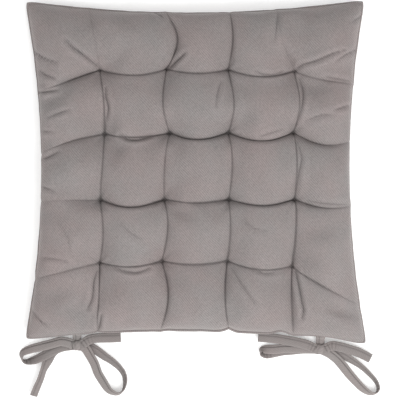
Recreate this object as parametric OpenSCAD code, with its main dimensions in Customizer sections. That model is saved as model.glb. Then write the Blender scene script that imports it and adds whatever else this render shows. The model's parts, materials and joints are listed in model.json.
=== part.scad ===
// Square tufted seat pad with a tied bow at each rear corner.
// Millimetres. The pad lies on z = 0, +Z is up, +X is to the right and -Y is
// the rear edge, where the ties are sewn in. The origin is the centre of the
// pad's underside.

/* [Pad] */
// Width of the pad from corner to corner, left to right
pad_width = 408; // [390:1:430]
// Length of the pad from corner to corner, front to rear
pad_length = 410; // [390:1:430]
// Height of the crown of a pillow above the surface the pad lies on
crown_height = 46; // [42:1:54]
// Height of the edge seam above that surface
seam_height = 14; // [12:1:18]
// How far the left and right edges pull in at their middle
side_pull = 23; // [12:1:26]
// How far the front and rear edges pull in at their middle
end_pull = 17; // [10:1:22]
// How far each corner tip is rounded off
corner_softness = 5; // [2:1:8]
// Thickness of the cover fabric with its backing, measured upright
cover_thickness = 1.2; // [0.8:0.1:1.6]

/* [Tufting] */
// Distance from one tuft to the next
tuft_pitch = 76; // [70:1:78]
// Height of the top fabric where a tuft pulls it down
tuft_top = 22; // [18:1:28]
// How far a tuft draws the underside up
tuft_lift = 4; // [3:0.5:6]
// Height of the fold between two tufts, at its middle
fold_height = 36; // [32:1:40]
// Thickness of the tufting thread
thread_width = 1.6; // [1.2:0.1:2]

/* [Ties] */
// Width of the tie tape
tape_width = 11; // [9:0.5:12]
// Thickness of the folded tie tape
tape_thickness = 1.6; // [1.2:0.1:1.8]
// Distance of the left tie from the middle of the pad
left_tie_reach = 141; // [136:1:146]
// Distance of the right tie from the middle of the pad
right_tie_reach = 148; // [142:1:152]
// Height of the line that each bow swings about
hinge_height = 6; // [6:0.5:7]

/* [Hidden] */

cover_color = [0.56, 0.53, 0.52];
tape_color = [0.52, 0.50, 0.49];
fill_color = [0.95, 0.95, 0.93];
thread_color = [0.45, 0.43, 0.42];

// The corners are cut and sewn by hand, so none is exactly square:
// front left, front right, rear left, rear right
half_width = pad_width / 2;
half_length = pad_length / 2;
front_left = [-half_width, half_length - 1];
front_right = [half_width - 2, half_length];
rear_left = [-half_width, 5 - half_length];
rear_right = [half_width, -half_length];

// Middle of the tufts, and how far each one strays from an even grid,
// in rows from the front, each from left to right
tuft_middle = [1.5, 6];
tuft_strays = [
    [[-0.5, 0], [2, 1], [-1.5, 0.5], [1, -1]],
    [[5, 0.5], [6, 1.5], [-1, 2], [-0.5, 2]],
    [[0, -1.5], [-0.5, -1], [-0.5, -1], [1, -1]],
    [[-1, 0.5], [-3.5, 2.5], [-2.5, 2.5], [-2, -3.5]]
];
tufts_per_row = 4;
last_tuft = tufts_per_row - 1;

// The quilted grid: one pillow for each square between tufts, and a border
pillows = tufts_per_row + 1;
steps = 5;
grid_steps = pillows * steps;
border_crowding = 1.6;
rim_share = 0.6;
shoulder_share = 0.5;
pillow_roundness = 0.6;
corner_sharpness = 24;
seam_roll_width = 1.5;
seam_roll_half_height = 1.5;
fill_edge = 0.3; // half the filling's height where it meets the seam
hole_clearance = 0.1;
tuft_knot_radius = 1.3;
tuft_knot_rise = 1.6;

function bilinear(a, b, c, d, s, t) =
    (a * (1 - s) + b * s) * (1 - t) + (c * (1 - s) + d * s) * t;

// A point of the flat outline map: u and v run from -1 to 1 across the pad
function plain_point(u, v) =
    bilinear(rear_left, rear_right, front_left, front_right, (u + 1) / 2, (v + 1) / 2)
    - [u * side_pull * (1 - v * v), v * end_pull * (1 - u * u)]
    - [sign(u), sign(v)] * corner_softness * pow(abs(u * v), corner_sharpness);

// The map is moved so that the origin is the middle of the pad's own box
edge_samples = [for (k = [-1:0.05:1]) for (p = [plain_point(k, -1), plain_point(k, 1),
    plain_point(-1, k), plain_point(1, k)]) p];
edge_x = [for (p = edge_samples) p[0]];
edge_y = [for (p = edge_samples) p[1]];
map_shift = -[max(edge_x) + min(edge_x), max(edge_y) + min(edge_y)] / 2;
function pad_point(u, v) = plain_point(u, v) + map_shift;

// Where tuft row r, column c goes through the pad
function tuft_point(r, c) = tuft_middle + tuft_strays[r][c]
    + tuft_pitch * [c - last_tuft / 2, last_tuft / 2 - r];

// Even grid lines through the tufts, as fractions of the pad's half size
function line_u(i) = i == 0 ? -1 : i == pillows ? 1
    : (tuft_middle[0] + tuft_pitch * (i - pillows / 2)) / half_width;
function line_v(j) = j == 0 ? -1 : j == pillows ? 1
    : (tuft_middle[1] + tuft_pitch * (j - pillows / 2)) / half_length;

// How far the map has to be pushed so that its lines cross at the tufts
function on_border(i, j) = i == 0 || j == 0 || i == pillows || j == pillows;
function push(i, j) = on_border(i, j) ? [0, 0]
    : tuft_point(tufts_per_row - j, i - 1) - pad_point(line_u(i), line_v(j));

// Grid step k lies in pillow cell(k), a share part(k) of the way across it
function cell(k) = min(floor(k / steps), pillows - 1);
function even_part(k) = k / steps - cell(k);
function part(k) = cell(k) == 0 ? pow(even_part(k), border_crowding)
    : cell(k) == pillows - 1 ? 1 - pow(1 - even_part(k), border_crowding)
    : even_part(k);
function grid_u(k) = line_u(cell(k)) * (1 - part(k)) + line_u(cell(k) + 1) * part(k);
function grid_v(k) = line_v(cell(k)) * (1 - part(k)) + line_v(cell(k) + 1) * part(k);
function grid_point(a, b) = let (i = cell(a), j = cell(b))
    pad_point(grid_u(a), grid_v(b)) + bilinear(push(i, j), push(i + 1, j),
        push(i, j + 1), push(i + 1, j + 1), part(a), part(b));

// Share of the full height at grid step k: 0 on the seam, 1 past the rim
function from_edge(k) = cell(k) == 0 ? part(k) : cell(k) == pillows - 1 ? 1 - part(k) : 1;
function rim(k) = sqrt(1 - pow(1 - min(1, from_edge(k) / rim_share), 2));

// Roundness of a pillow at grid step k: 0 on a line of tufts, 1 on its crown
function from_tufts(k) = cell(k) == 0 ? (1 - part(k)) * shoulder_share
    : cell(k) == pillows - 1 ? part(k) * shoulder_share : part(k);
function swell(k) = pow(sin(180 * from_tufts(k)), pillow_roundness);

function quilt_height(a, b) = let (p = swell(a), q = swell(b))
    tuft_top + (fold_height - tuft_top) * (p + q - p * q)
    + (crown_height - fold_height) * p * q;
function top_height(a, b) = let (base = seam_height + fill_edge + cover_thickness)
    base + (quilt_height(a, b) - base) * rim(a) * rim(b);

function is_tuft_step(k) = k % steps == 0 && k > 0 && k < grid_steps;
function under_height(a, b) = is_tuft_step(a) && is_tuft_step(b) ? tuft_lift
    : (seam_height - fill_edge - cover_thickness) * (1 - rim(a) * rim(b));

// Two sheets of grid points, joined round their edge to make a closed solid.
// Both sheets are cut into triangles along the same diagonals.
// On the edge they stop short of the outline, where the rolled seam begins.
edge_inset = 1 - seam_roll_width / half_width;
function on_edge(a, b) = a == 0 || b == 0 || a == grid_steps || b == grid_steps;
function sheet_height(side, a, b) =
    side == "top_out" ? top_height(a, b)
    : side == "top_in" ? top_height(a, b) - cover_thickness
    : side == "under_in" ? under_height(a, b) + cover_thickness
    : under_height(a, b);
function sheet(side) = [for (b = [0:grid_steps]) for (a = [0:grid_steps])
    concat(grid_point(a, b) * (on_edge(a, b) ? edge_inset : 1), sheet_height(side, a, b))];

row_points = grid_steps + 1;
sheet_points = row_points * row_points;
function at(a, b, sheet_no) = a + b * row_points + sheet_no * sheet_points;
upper_faces = [for (b = [0:grid_steps - 1]) for (a = [0:grid_steps - 1]) for (f = [
    [at(a, b, 0), at(a + 1, b + 1, 0), at(a + 1, b, 0)],
    [at(a, b, 0), at(a, b + 1, 0), at(a + 1, b + 1, 0)]]) f];
lower_faces = [for (b = [0:grid_steps - 1]) for (a = [0:grid_steps - 1]) for (f = [
    [at(a, b, 1), at(a + 1, b, 1), at(a + 1, b + 1, 1)],
    [at(a, b, 1), at(a + 1, b + 1, 1), at(a, b + 1, 1)]]) f];

// Grid steps along the edge, anticlockwise from the rear left corner
edge_walk = [
    for (k = [0:grid_steps - 1]) [k, 0],
    for (k = [0:grid_steps - 1]) [grid_steps, k],
    for (k = [0:grid_steps - 1]) [grid_steps - k, grid_steps],
    for (k = [0:grid_steps - 1]) [0, grid_steps - k]
];
edge_count = len(edge_walk);
function edge_at(k, sheet_no) = let (e = edge_walk[k % edge_count]) at(e[0], e[1], sheet_no);
rim_faces = [for (k = [0:edge_count - 1]) for (f = [
    [edge_at(k, 0), edge_at(k + 1, 0), edge_at(k + 1, 1)],
    [edge_at(k, 0), edge_at(k + 1, 1), edge_at(k, 1)]]) f];

module quilted_sheet(upper, lower) {
    polyhedron(concat(sheet(upper), sheet(lower)),
        concat(upper_faces, lower_faces, rim_faces));
}

// Holes that the tufting threads and the ends of the ties pass through
module tuft_holes() {
    for (r = [0:last_tuft]) {
        for (c = [0:last_tuft]) {
            translate(concat(tuft_point(r, c), -1))
                cylinder(h = crown_height, r = thread_width / 2 + hole_clearance, $fn = 24);
        }
    }
}

module tie_slot(root) {
    width = tape_width + 2 * hole_clearance;
    height = tape_thickness + 2 * hole_clearance;
    translate([root[0] - width / 2, root[1] - seam_roll_width - 2, seam_height - height / 2])
        cube([width, sewn_in_length + seam_roll_width + 2, height]);
}

module top_cover() {
    color(cover_color) difference() {
        quilted_sheet("top_out", "top_in");
        tuft_holes();
        tie_slot(left_root);
        tie_slot(right_root);
    }
}

module bottom_cover() {
    color(cover_color) difference() {
        quilted_sheet("under_in", "under_out");
        tuft_holes();
        tie_slot(left_root);
        tie_slot(right_root);
    }
}

module fibre_fill() {
    color(fill_color) difference() {
        quilted_sheet("top_in", "under_in");
        tuft_holes();
        tie_slot(left_root);
        tie_slot(right_root);
    }
}

// Rolled and overlocked seam that joins the two covers all round
seam_sides = 4;
function seam_ring(k) = let (e = edge_walk[k], p = grid_point(e[0], e[1]),
    q = p * edge_inset, h = seam_roll_half_height)
    [[q[0], q[1], seam_height - h], [p[0], p[1], seam_height - h / 2],
     [p[0], p[1], seam_height + h / 2], [q[0], q[1], seam_height + h]];
seam_points = [for (k = [0:edge_count - 1]) for (p = seam_ring(k)) p];
function seam_at(k, m) = (k % edge_count) * seam_sides + m % seam_sides;
seam_faces = [for (k = [0:edge_count - 1]) for (m = [0:seam_sides - 1]) for (f = [
    [seam_at(k, m), seam_at(k, m + 1), seam_at(k + 1, m + 1)],
    [seam_at(k, m), seam_at(k + 1, m + 1), seam_at(k + 1, m)]]) f];

module edge_seam() {
    color(cover_color) difference() {
        polyhedron(seam_points, seam_faces);
        tie_slot(left_root);
        tie_slot(right_root);
    }
}

// Tufting thread: a shank through the pad and a small knot in each dimple
module tuft_thread(r, c) {
    color(thread_color) translate(concat(tuft_point(r, c), 0)) {
        translate([0, 0, tuft_lift - tuft_knot_rise])
            cylinder(h = tuft_top - tuft_lift + 2 * tuft_knot_rise, r = thread_width / 2, $fn = 24);
        translate([0, 0, tuft_top + tuft_knot_rise + 0.4])
            sphere(r = tuft_knot_radius, $fn = 24);
        translate([0, 0, tuft_lift - tuft_knot_rise])
            sphere(r = tuft_knot_radius, $fn = 24);
    }
}

// Ties. Each root is the point on the edge seam where a tie is sewn in, and
// each pivot is the line that its bow swings about, just outside the pad.
sewn_in_length = 10;
neck_reach = 7.5;
rear_left_u = -left_tie_reach / half_width;
rear_right_u = right_tie_reach / half_width;
left_root = [-left_tie_reach, pad_point(rear_left_u, -1)[1]];
right_root = [right_tie_reach, pad_point(rear_right_u, -1)[1]];
left_pivot = [left_root[0], left_root[1] - neck_reach, 0];
right_pivot = [right_root[0], right_root[1] - neck_reach, 0];

// Routes of the tape, from the pivot: x, y, height above the floor, and the
// turn of the tape about its own length in degrees, 0 lying flat
neck_route = [
    [0, neck_reach + 1, seam_height, 0], [0, 6.9, seam_height, 0], [0, 6.2, 13.4, 0],
    [0, 6, 11.5, 0], [0, 5.8, 9, 0], [0, 5.1, 7.2, 0], [0, 3.4, hinge_height, 0],
    [0, 1.1, hinge_height, 0]
];
left_outer_loop_route = [
    [-4, -6.7, 7, -5], [-8, -4.8, 7.2, -6], [-13, -2.6, 7.5, -7], [-20, -2, 8, -8],
    [-31, -5, 8.5, -12],
    [-43, -8, 8.5, -15], [-55, -11, 8, -25], [-64, -15, 7, -45], [-66, -21, 6.5, -75],
    [-62, -26, 6, -110], [-53, -25, 5.5, -140], [-43, -21, 5, -158], [-34, -16, 4.8, -168],
    [-24, -11, 4.6, -170], [-15, -8, 4.4, -172], [-4, -6.8, 4, -178]
];
left_outer_tail_route = [
    [-4, -6.8, 1.1, 0], [-15, -8, 1.1, 0], [-24, -11, 1.1, 0], [-30, -16, 1.1, 0],
    [-34, -23, 1.6, 8], [-37, -29, 3.5, 30], [-40, -36, 5, 48], [-44, -48, 5, 50],
    [-48, -57, 4.8, 45], [-52, -67, 4.5, 40]
];
left_inner_loop_route = [
    [4, -6.8, 6.2, -8], [10, -10.5, 6.4, -10], [16, -20, 6.4, -15], [21, -29, 6.4, -15],
    [25, -40, 6.2, -18], [31, -50, 6, -25], [37, -59, 6, -38], [43, -63, 6, -55],
    [50, -64, 6, -75], [55, -59, 6, -100], [57, -50, 5.8, -115], [56, -42, 5.5, -122],
    [51, -34, 5, -130], [42, -26, 4.6, -140], [33, -20, 4, -152], [23, -13, 3, -165],
    [14, -8.5, 2.2, -175], [4, -6.8, 1.8, -180]
];
left_inner_tail_route = [
    [4, -7, 9.6, 0], [10, -4, 9.6, 0], [17, 0, 9.2, 0], [28, 1.5, 8.5, 0],
    [40, 2, 7.5, 0], [52, 3, 6.5, 0]
];
right_outer_loop_route = [
    [3, -8, 6.2, -8], [11, -12, 6.4, -10], [20, -19, 6.4, -14], [27, -27, 6.4, -15],
    [35, -37, 6.2, -18], [43, -46, 6, -25], [51, -54, 6, -38], [59, -59, 6, -58],
    [66, -59, 6, -85], [69, -53, 6, -105], [66, -45, 5.8, -112], [58, -36, 5.4, -118],
    [48, -27, 5, -126], [36, -19, 4.4, -140], [25, -13, 3.4, -158], [16, -9, 2.2, -172],
    [4, -6.9, 1.8, -180]
];
right_outer_tail_route = [
    [4, -7, 9.6, 0], [9, -4.5, 9.6, 0], [14, -2.5, 9.2, 0], [23, -4, 8.5, 0],
    [34, -7, 7.5, 0], [46, -11, 6.5, 0], [60, -18, 5.5, 0]
];
right_inner_loop_route = [
    [-4, -7, 5.9, -3], [-12, -6.5, 5.9, -5], [-21, -6, 5.8, -6], [-32, -6, 5.6, -8],
    [-43, -6, 5.6, -10], [-54, -7, 5.6, -12], [-64, -7, 5.8, -28], [-70, -8, 5.9, -60],
    [-70, -12, 5.9, -115], [-64, -13, 3.6, -155], [-54, -11, 2, -175], [-43, -9, 1.8, -178],
    [-32, -8, 1.8, -178], [-21, -7, 1.8, -178], [-4, -7, 1.8, -180]
];
right_inner_tail_route = [
    [-4, -7, 9.6, 0], [-10, -4, 9.6, 0], [-18, -1, 9.2, 0], [-31, 2, 8.8, 0],
    [-42, 4, 8.2, 0], [-51, 5.5, 7.5, 0], [-62, 6.5, 7, 0], [-74, 7.5, 6.5, 0]
];

// The tape's section has flat faces and softened edges
half_tape = tape_width / 2;
half_thick = tape_thickness / 2;
softened = half_tape - half_thick;
tape_section = [
    [half_tape, -half_thick / 2], [half_tape, half_thick / 2],
    [softened, half_thick], [-softened, half_thick],
    [-half_tape, half_thick / 2], [-half_tape, -half_thick / 2],
    [-softened, -half_thick], [softened, -half_thick]
];
tape_sides = len(tape_section);

function unit(v) = v / norm(v);
function place(p) = [p[0], p[1], p[2]];
function heading(route, i) =
    unit(place(route[min(i + 1, len(route) - 1)]) - place(route[max(i - 1, 0)]));
function tape_ring(route, i) = let (
    along = heading(route, i),
    flat_across = unit([along[1], -along[0], 0]),
    flat_up = cross(flat_across, along),
    turn = route[i][3],
    across = cos(turn) * flat_across + sin(turn) * flat_up,
    up = cos(turn) * flat_up - sin(turn) * flat_across)
    [for (s = tape_section) place(route[i]) + across * s[0] + up * s[1]];
function tape_at(i, m) = i * tape_sides + m % tape_sides;

module tape(route) {
    rings = len(route);
    points = [for (i = [0:rings - 1]) for (p = tape_ring(route, i)) p];
    sides = [for (i = [0:rings - 2]) for (m = [0:tape_sides - 1]) for (f = [
        [tape_at(i, m), tape_at(i + 1, m + 1), tape_at(i + 1, m)],
        [tape_at(i, m), tape_at(i, m + 1), tape_at(i + 1, m + 1)]]) f];
    first_end = [for (m = [tape_sides - 1:-1:0]) m];
    last_end = [for (m = [0:tape_sides - 1]) tape_at(rings - 1, m)];
    polyhedron(points, concat(sides, [first_end, last_end]));
}

// The end sewn into the seam, and the short neck that comes down the edge
module tie_anchor(pivot) {
    color(tape_color) translate(pivot) {
        translate([-half_tape, neck_reach, seam_height - half_thick])
            cube([tape_width, sewn_in_length, tape_thickness]);
        tape(neck_route);
    }
}

// The wrap of the knot, with the tongue of tape that meets the neck
knot_corner = 2.5;
knot_half_width = 5.2;
knot_front = -1.3;
knot_rear = -11.5;
knot_low = 0.1;
knot_high = 10.4;

module tie_knot(pivot) {
    color(tape_color) translate(pivot) {
        translate([-knot_half_width, 0, 0])
            rotate([90, 0, 90])
                linear_extrude(height = 2 * knot_half_width)
                    hull() {
                        translate([knot_rear + knot_corner, knot_low + knot_corner])
                            circle(r = knot_corner, $fn = 32);
                        translate([knot_front - knot_corner, knot_low + knot_corner])
                            circle(r = knot_corner, $fn = 32);
                        translate([knot_rear + knot_corner, knot_high - knot_corner])
                            circle(r = knot_corner, $fn = 32);
                        translate([knot_front - knot_corner, knot_high - knot_corner])
                            circle(r = knot_corner, $fn = 32);
                    }
        translate([-knot_half_width, 0, hinge_height])
            rotate([0, 90, 0])
                cylinder(h = 2 * knot_half_width, r = half_thick, $fn = 24);
        translate([-knot_half_width, knot_front - 1, hinge_height - half_thick])
            cube([2 * knot_half_width, 1 - knot_front, tape_thickness]);
    }
}

module tie_tape(pivot, route) {
    color(tape_color) translate(pivot) tape(route);
}

top_cover();
bottom_cover();
fibre_fill();
edge_seam();
tuft_thread(0, 0);  // tuft_r1_c1
tuft_thread(0, 1);  // tuft_r1_c2
tuft_thread(0, 2);  // tuft_r1_c3
tuft_thread(0, 3);  // tuft_r1_c4
tuft_thread(1, 0);  // tuft_r2_c1
tuft_thread(1, 1);  // tuft_r2_c2
tuft_thread(1, 2);  // tuft_r2_c3
tuft_thread(1, 3);  // tuft_r2_c4
tuft_thread(2, 0);  // tuft_r3_c1
tuft_thread(2, 1);  // tuft_r3_c2
tuft_thread(2, 2);  // tuft_r3_c3
tuft_thread(2, 3);  // tuft_r3_c4
tuft_thread(3, 0);  // tuft_r4_c1
tuft_thread(3, 1);  // tuft_r4_c2
tuft_thread(3, 2);  // tuft_r4_c3
tuft_thread(3, 3);  // tuft_r4_c4
tie_anchor(left_pivot);  // left_tie_anchor
tie_knot(left_pivot);  // left_tie_knot
tie_tape(left_pivot, left_outer_loop_route);  // left_tie_outer_loop
tie_tape(left_pivot, left_outer_tail_route);  // left_tie_outer_tail
tie_tape(left_pivot, left_inner_loop_route);  // left_tie_inner_loop
tie_tape(left_pivot, left_inner_tail_route);  // left_tie_inner_tail
tie_anchor(right_pivot);  // right_tie_anchor
tie_knot(right_pivot);  // right_tie_knot
tie_tape(right_pivot, right_outer_loop_route);  // right_tie_outer_loop
tie_tape(right_pivot, right_outer_tail_route);  // right_tie_outer_tail
tie_tape(right_pivot, right_inner_loop_route);  // right_tie_inner_loop
tie_tape(right_pivot, right_inner_tail_route);  // right_tie_inner_tail
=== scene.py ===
"""Square tufted seat pad with a tied bow at each rear corner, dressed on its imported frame."""

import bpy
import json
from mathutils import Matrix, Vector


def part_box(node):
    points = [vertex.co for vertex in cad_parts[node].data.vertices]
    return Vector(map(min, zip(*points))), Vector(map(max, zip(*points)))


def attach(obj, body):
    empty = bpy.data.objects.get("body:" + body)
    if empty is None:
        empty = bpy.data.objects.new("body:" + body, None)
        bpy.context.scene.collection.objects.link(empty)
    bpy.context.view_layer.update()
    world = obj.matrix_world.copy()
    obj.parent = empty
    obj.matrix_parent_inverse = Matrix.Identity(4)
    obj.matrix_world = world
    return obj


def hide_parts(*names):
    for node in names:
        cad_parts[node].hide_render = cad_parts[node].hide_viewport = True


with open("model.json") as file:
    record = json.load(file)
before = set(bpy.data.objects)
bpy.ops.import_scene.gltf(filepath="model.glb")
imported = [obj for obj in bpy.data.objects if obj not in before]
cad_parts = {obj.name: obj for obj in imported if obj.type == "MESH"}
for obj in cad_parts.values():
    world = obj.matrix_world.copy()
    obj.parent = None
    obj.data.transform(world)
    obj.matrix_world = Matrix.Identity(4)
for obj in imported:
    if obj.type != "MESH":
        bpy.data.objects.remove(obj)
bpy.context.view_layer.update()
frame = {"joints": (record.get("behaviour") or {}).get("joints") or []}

import json
import math

import bmesh
import bpy
import numpy as np
from bpy.props import FloatProperty, FloatVectorProperty, IntProperty, PointerProperty
from mathutils import Vector, noise

bl_info = {
    "name": "Tufted Seat Pad",
    "version": (1, 0, 0),
    "blender": (4, 5, 0),
    "location": "3D View > Sidebar > Seat Pad",
    "description": "Makes a quilted square seat pad and the tapes that tie it to a chair",
    "category": "Object",
}

MM = 0.001
ROWS = 4
PILLOWS = ROWS + 1
SIDES = ("left", "right")

# ---------------------------------------------------------------- the quilting plan, in mm

# Half the side of the flat plan, the tufts' pitch, and how far their grid lies to the right
# of the plan's middle and to the front of it
HALF_SIDE = 201
TUFT_PITCH = 76
GRID_RIGHT = 1.5
GRID_AHEAD = 6.0

# Corner tips of the sewn edge, hand cut, so none is quite square, and how blunt they are
FRONT_LEFT = (-201.5, 201.5)
FRONT_RIGHT = (199.5, 203.0)
REAR_LEFT = (-201.5, -198.5)
REAR_RIGHT = (202.0, -204.5)
CORNER_CUT = 2.0

# Where the creases that leave the outer tufts reach the sewn edge, along that edge:
# left and right from the rear row to the front row, rear and front from left to right
LEFT_ENDS = (-127, -35, 20, 93)
RIGHT_ENDS = (-158, -40, 36, 104)
REAR_ENDS = (-116, -42, 39, 116)
FRONT_ENDS = (-126, -36, 40, 96)

# Crosswise creases, one row for each line of tufts from the rear to the front, one value
# for each of the five pillows from left to right: how far the crease sags to the rear
CROSS_SAG = (
    (0, 5.5, 4, 7, 2),
    (0, 7.5, 4.5, 6.5, 6),
    (-3, 4, 5.5, 7.5, 8),
    (0, 8, 5, 8, 2),
)
CROSS_DEPTH = (
    (0.7, 1, 1, 1, 1),
    (0.3, 1, 0.9, 1, 0.8),
    (0.8, 1, 1, 1, 0.8),
    (1, 1, 1, 1, 0.7),
)
# Lengthwise creases, one row for each pillow from the rear to the front, one value for
# each line of tufts from left to right: how far the crease bows to the right
LENGTH_BOW = (
    (0, 7, -3, 0),
    (4, 5, 3, 3),
    (2, -2, 4, 2.5),
    (3, -5.5, 6, 6),
    (0, 12, 4, -5),
)
LENGTH_DEPTH = (
    (0.9, 0.9, 1, 0.9),
    (0.8, 0.8, 0.8, 1),
    (0.8, 0.7, 0.8, 0.9),
    (0.9, 0.8, 0.8, 0.8),
    (0.2, 1, 0.8, 0.25),
)

# Single folds of the cloth: depth, width and the line that each follows
FOLDS = (
    (2.6, 3.0, ((-116, 124), (-132, 137), (-143, 145), (-153, 155))),
    (1.8, 3.5, ((-194, 143), (-185, 137), (-176, 132), (-164, 128))),
    (1.8, 3.0, ((-183, 118), (-175, 113), (-165, 109))),
    (2.0, 2.6, ((-188, 93), (-176, 94), (-163, 96))),
    (1.3, 2.6, ((-184, 48), (-176, 47), (-168, 46))),
    (1.6, 3.0, ((-184, 14), (-174, 17), (-162, 23))),
    (1.5, 3.0, ((-183, -17), (-175, -20), (-167, -23))),
    (1.3, 3.0, ((-182, -101), (-166, -103), (-150, -106))),
    (1.6, 3.5, ((-193, -165), (-183, -176), (-176, -181))),
    (1.5, 3.0, ((-173, 64), (-160, 69), (-148, 72))),
    (2.4, 3.0, ((120, 122), (128, 126), (142, 130), (154, 135), (164, 139), (176, 143))),
    (1.8, 3.0, ((190, 144), (178, 138), (166, 130))),
    (1.4, 3.0, ((154, 111), (168, 109), (181, 107))),
    (1.3, 3.5, ((198, 185), (192, 181), (185, 177))),
    (1.6, 3.0, ((163, 72), (172, 75), (184, 79))),
    (1.3, 3.5, ((132, -35), (152, -38), (178, -39))),
    (1.2, 4.0, ((130, 60), (148, 66), (166, 66))),
    (2.2, 3.0, ((-13, 139), (-22, 131), (-31, 123))),
    (1.6, 3.0, ((-50, 189), (-44, 186), (-38, 182))),
    (1.2, 4.5, ((97, 186), (95, 170), (93, 155))),
    (2.2, 3.2, ((-116, -117), (-119, -130), (-121, -146), (-127, -161))),
    (2.0, 2.8, ((-111, -168), (-113, -180), (-116, -191))),
    (1.4, 4.0, ((43, -115), (52, -129), (60, -141), (70, -155))),
    (2.4, 3.0, ((117, -117), (121, -136), (124, -153), (126, -163), (125, -172))),
    (1.9, 2.6, ((-90, 43), (-78, 38), (-66, 38), (-52, 42))),
    (1.8, 2.8, ((-106, 98), (-106, 88), (-103, 75), (-105, 63))),
    (1.5, 2.8, ((70, 118), (80, 114), (92, 114), (104, 118))),
    (1.7, 2.8, ((122, 110), (126, 96), (125, 80), (121, 64))),
    (1.4, 3.2, ((30, 106), (26, 92), (24, 76))),
    (1.7, 2.6, ((-96, -112), (-82, -117), (-68, -118), (-54, -113))),
    (1.2, 3.0, ((76, 41), (88, 45), (102, 49))),
    (1.3, 3.5, ((119, 36), (124, 18), (121, 0), (118, -20))),
    (1.2, 3.0, ((66, -112), (80, -119), (94, -118))),
    (1.0, 5.0, ((-88, -60), (-76, -72), (-62, -80))),
    (0.9, 5.0, ((56, -56), (68, -66), (84, -70))),
    (0.9, 6.0, ((-160, -60), (-150, -78), (-146, -96))),
)

# Nicks where the lengthwise creases reach the sewn rear edge, and the long hollow that the
# right tie draws in: place, half width, depth
REAR_NICKS = ((-114, 5, 1.6), (-33, 4, 1.8), (39, 4.5, 3.4), (101, 9, 4.5), (152, 36, 2.8))

CLOTH_THICKNESS = 1.0

# The cloth simulation: its frames, the most that it may move a point, and its cloth
BLOW_FRAMES = 20
MOST_MOVE = 12.0
CLOTH_SETTINGS = {
    "quality": 6, "mass": 0.2, "use_pressure": True, "shrink_min": -0.04,
    "tension_stiffness": 20, "compression_stiffness": 20, "shear_stiffness": 10,
    "bending_stiffness": 0.3, "tension_damping": 5, "compression_damping": 5,
    "shear_damping": 5, "air_damping": 2,
}

# Side of a finished pillow along the cloth, and of one by the edge, and a tuft's pit
PILLOW_SIDE = 78
OUTER_PILLOW = 80
PIT_DEPTH = 1.3

# Shares of an outer pillow: how wide its rounded rim is, and how its grid crowds the edge
RIM_WIDTH = 0.62
EDGE_CROWDING = 1.25
# Power of the sine that rounds a pillow: lower is fuller
PILLOW_ROUND = 0.85
# How much of a crease is left at the sewn edge
CREASE_AT_EDGE = 0.35

# Gap that the filling keeps from the top cover, more of it under a tuft, and from the base
FILLING_BELOW_TOP = 7.0
FILLING_UNDER_TUFT = 4.0
FILLING_ABOVE_BASE = 3.5
# A tuft's stitch: length, thickness and arch, how far it sinks into the top cover, and its
# height in the underside's dimple
TUFT_STITCH = (2.6, 0.7, 0.3)
UPPER_STITCH_SUNK = 0.35
LOWER_STITCH = 3.2

# The rolled seam: half width and half height of the roll, and its place off the covers' edge
SEAM_HALF_WIDTH = 1.35
SEAM_HALF_HEIGHT = 1.55
SEAM_TUCK = 0.4
SEAM_SHOWS_AT_REAR = 1.3

# ---------------------------------------------------------------- the ties' routes, in mm

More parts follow.
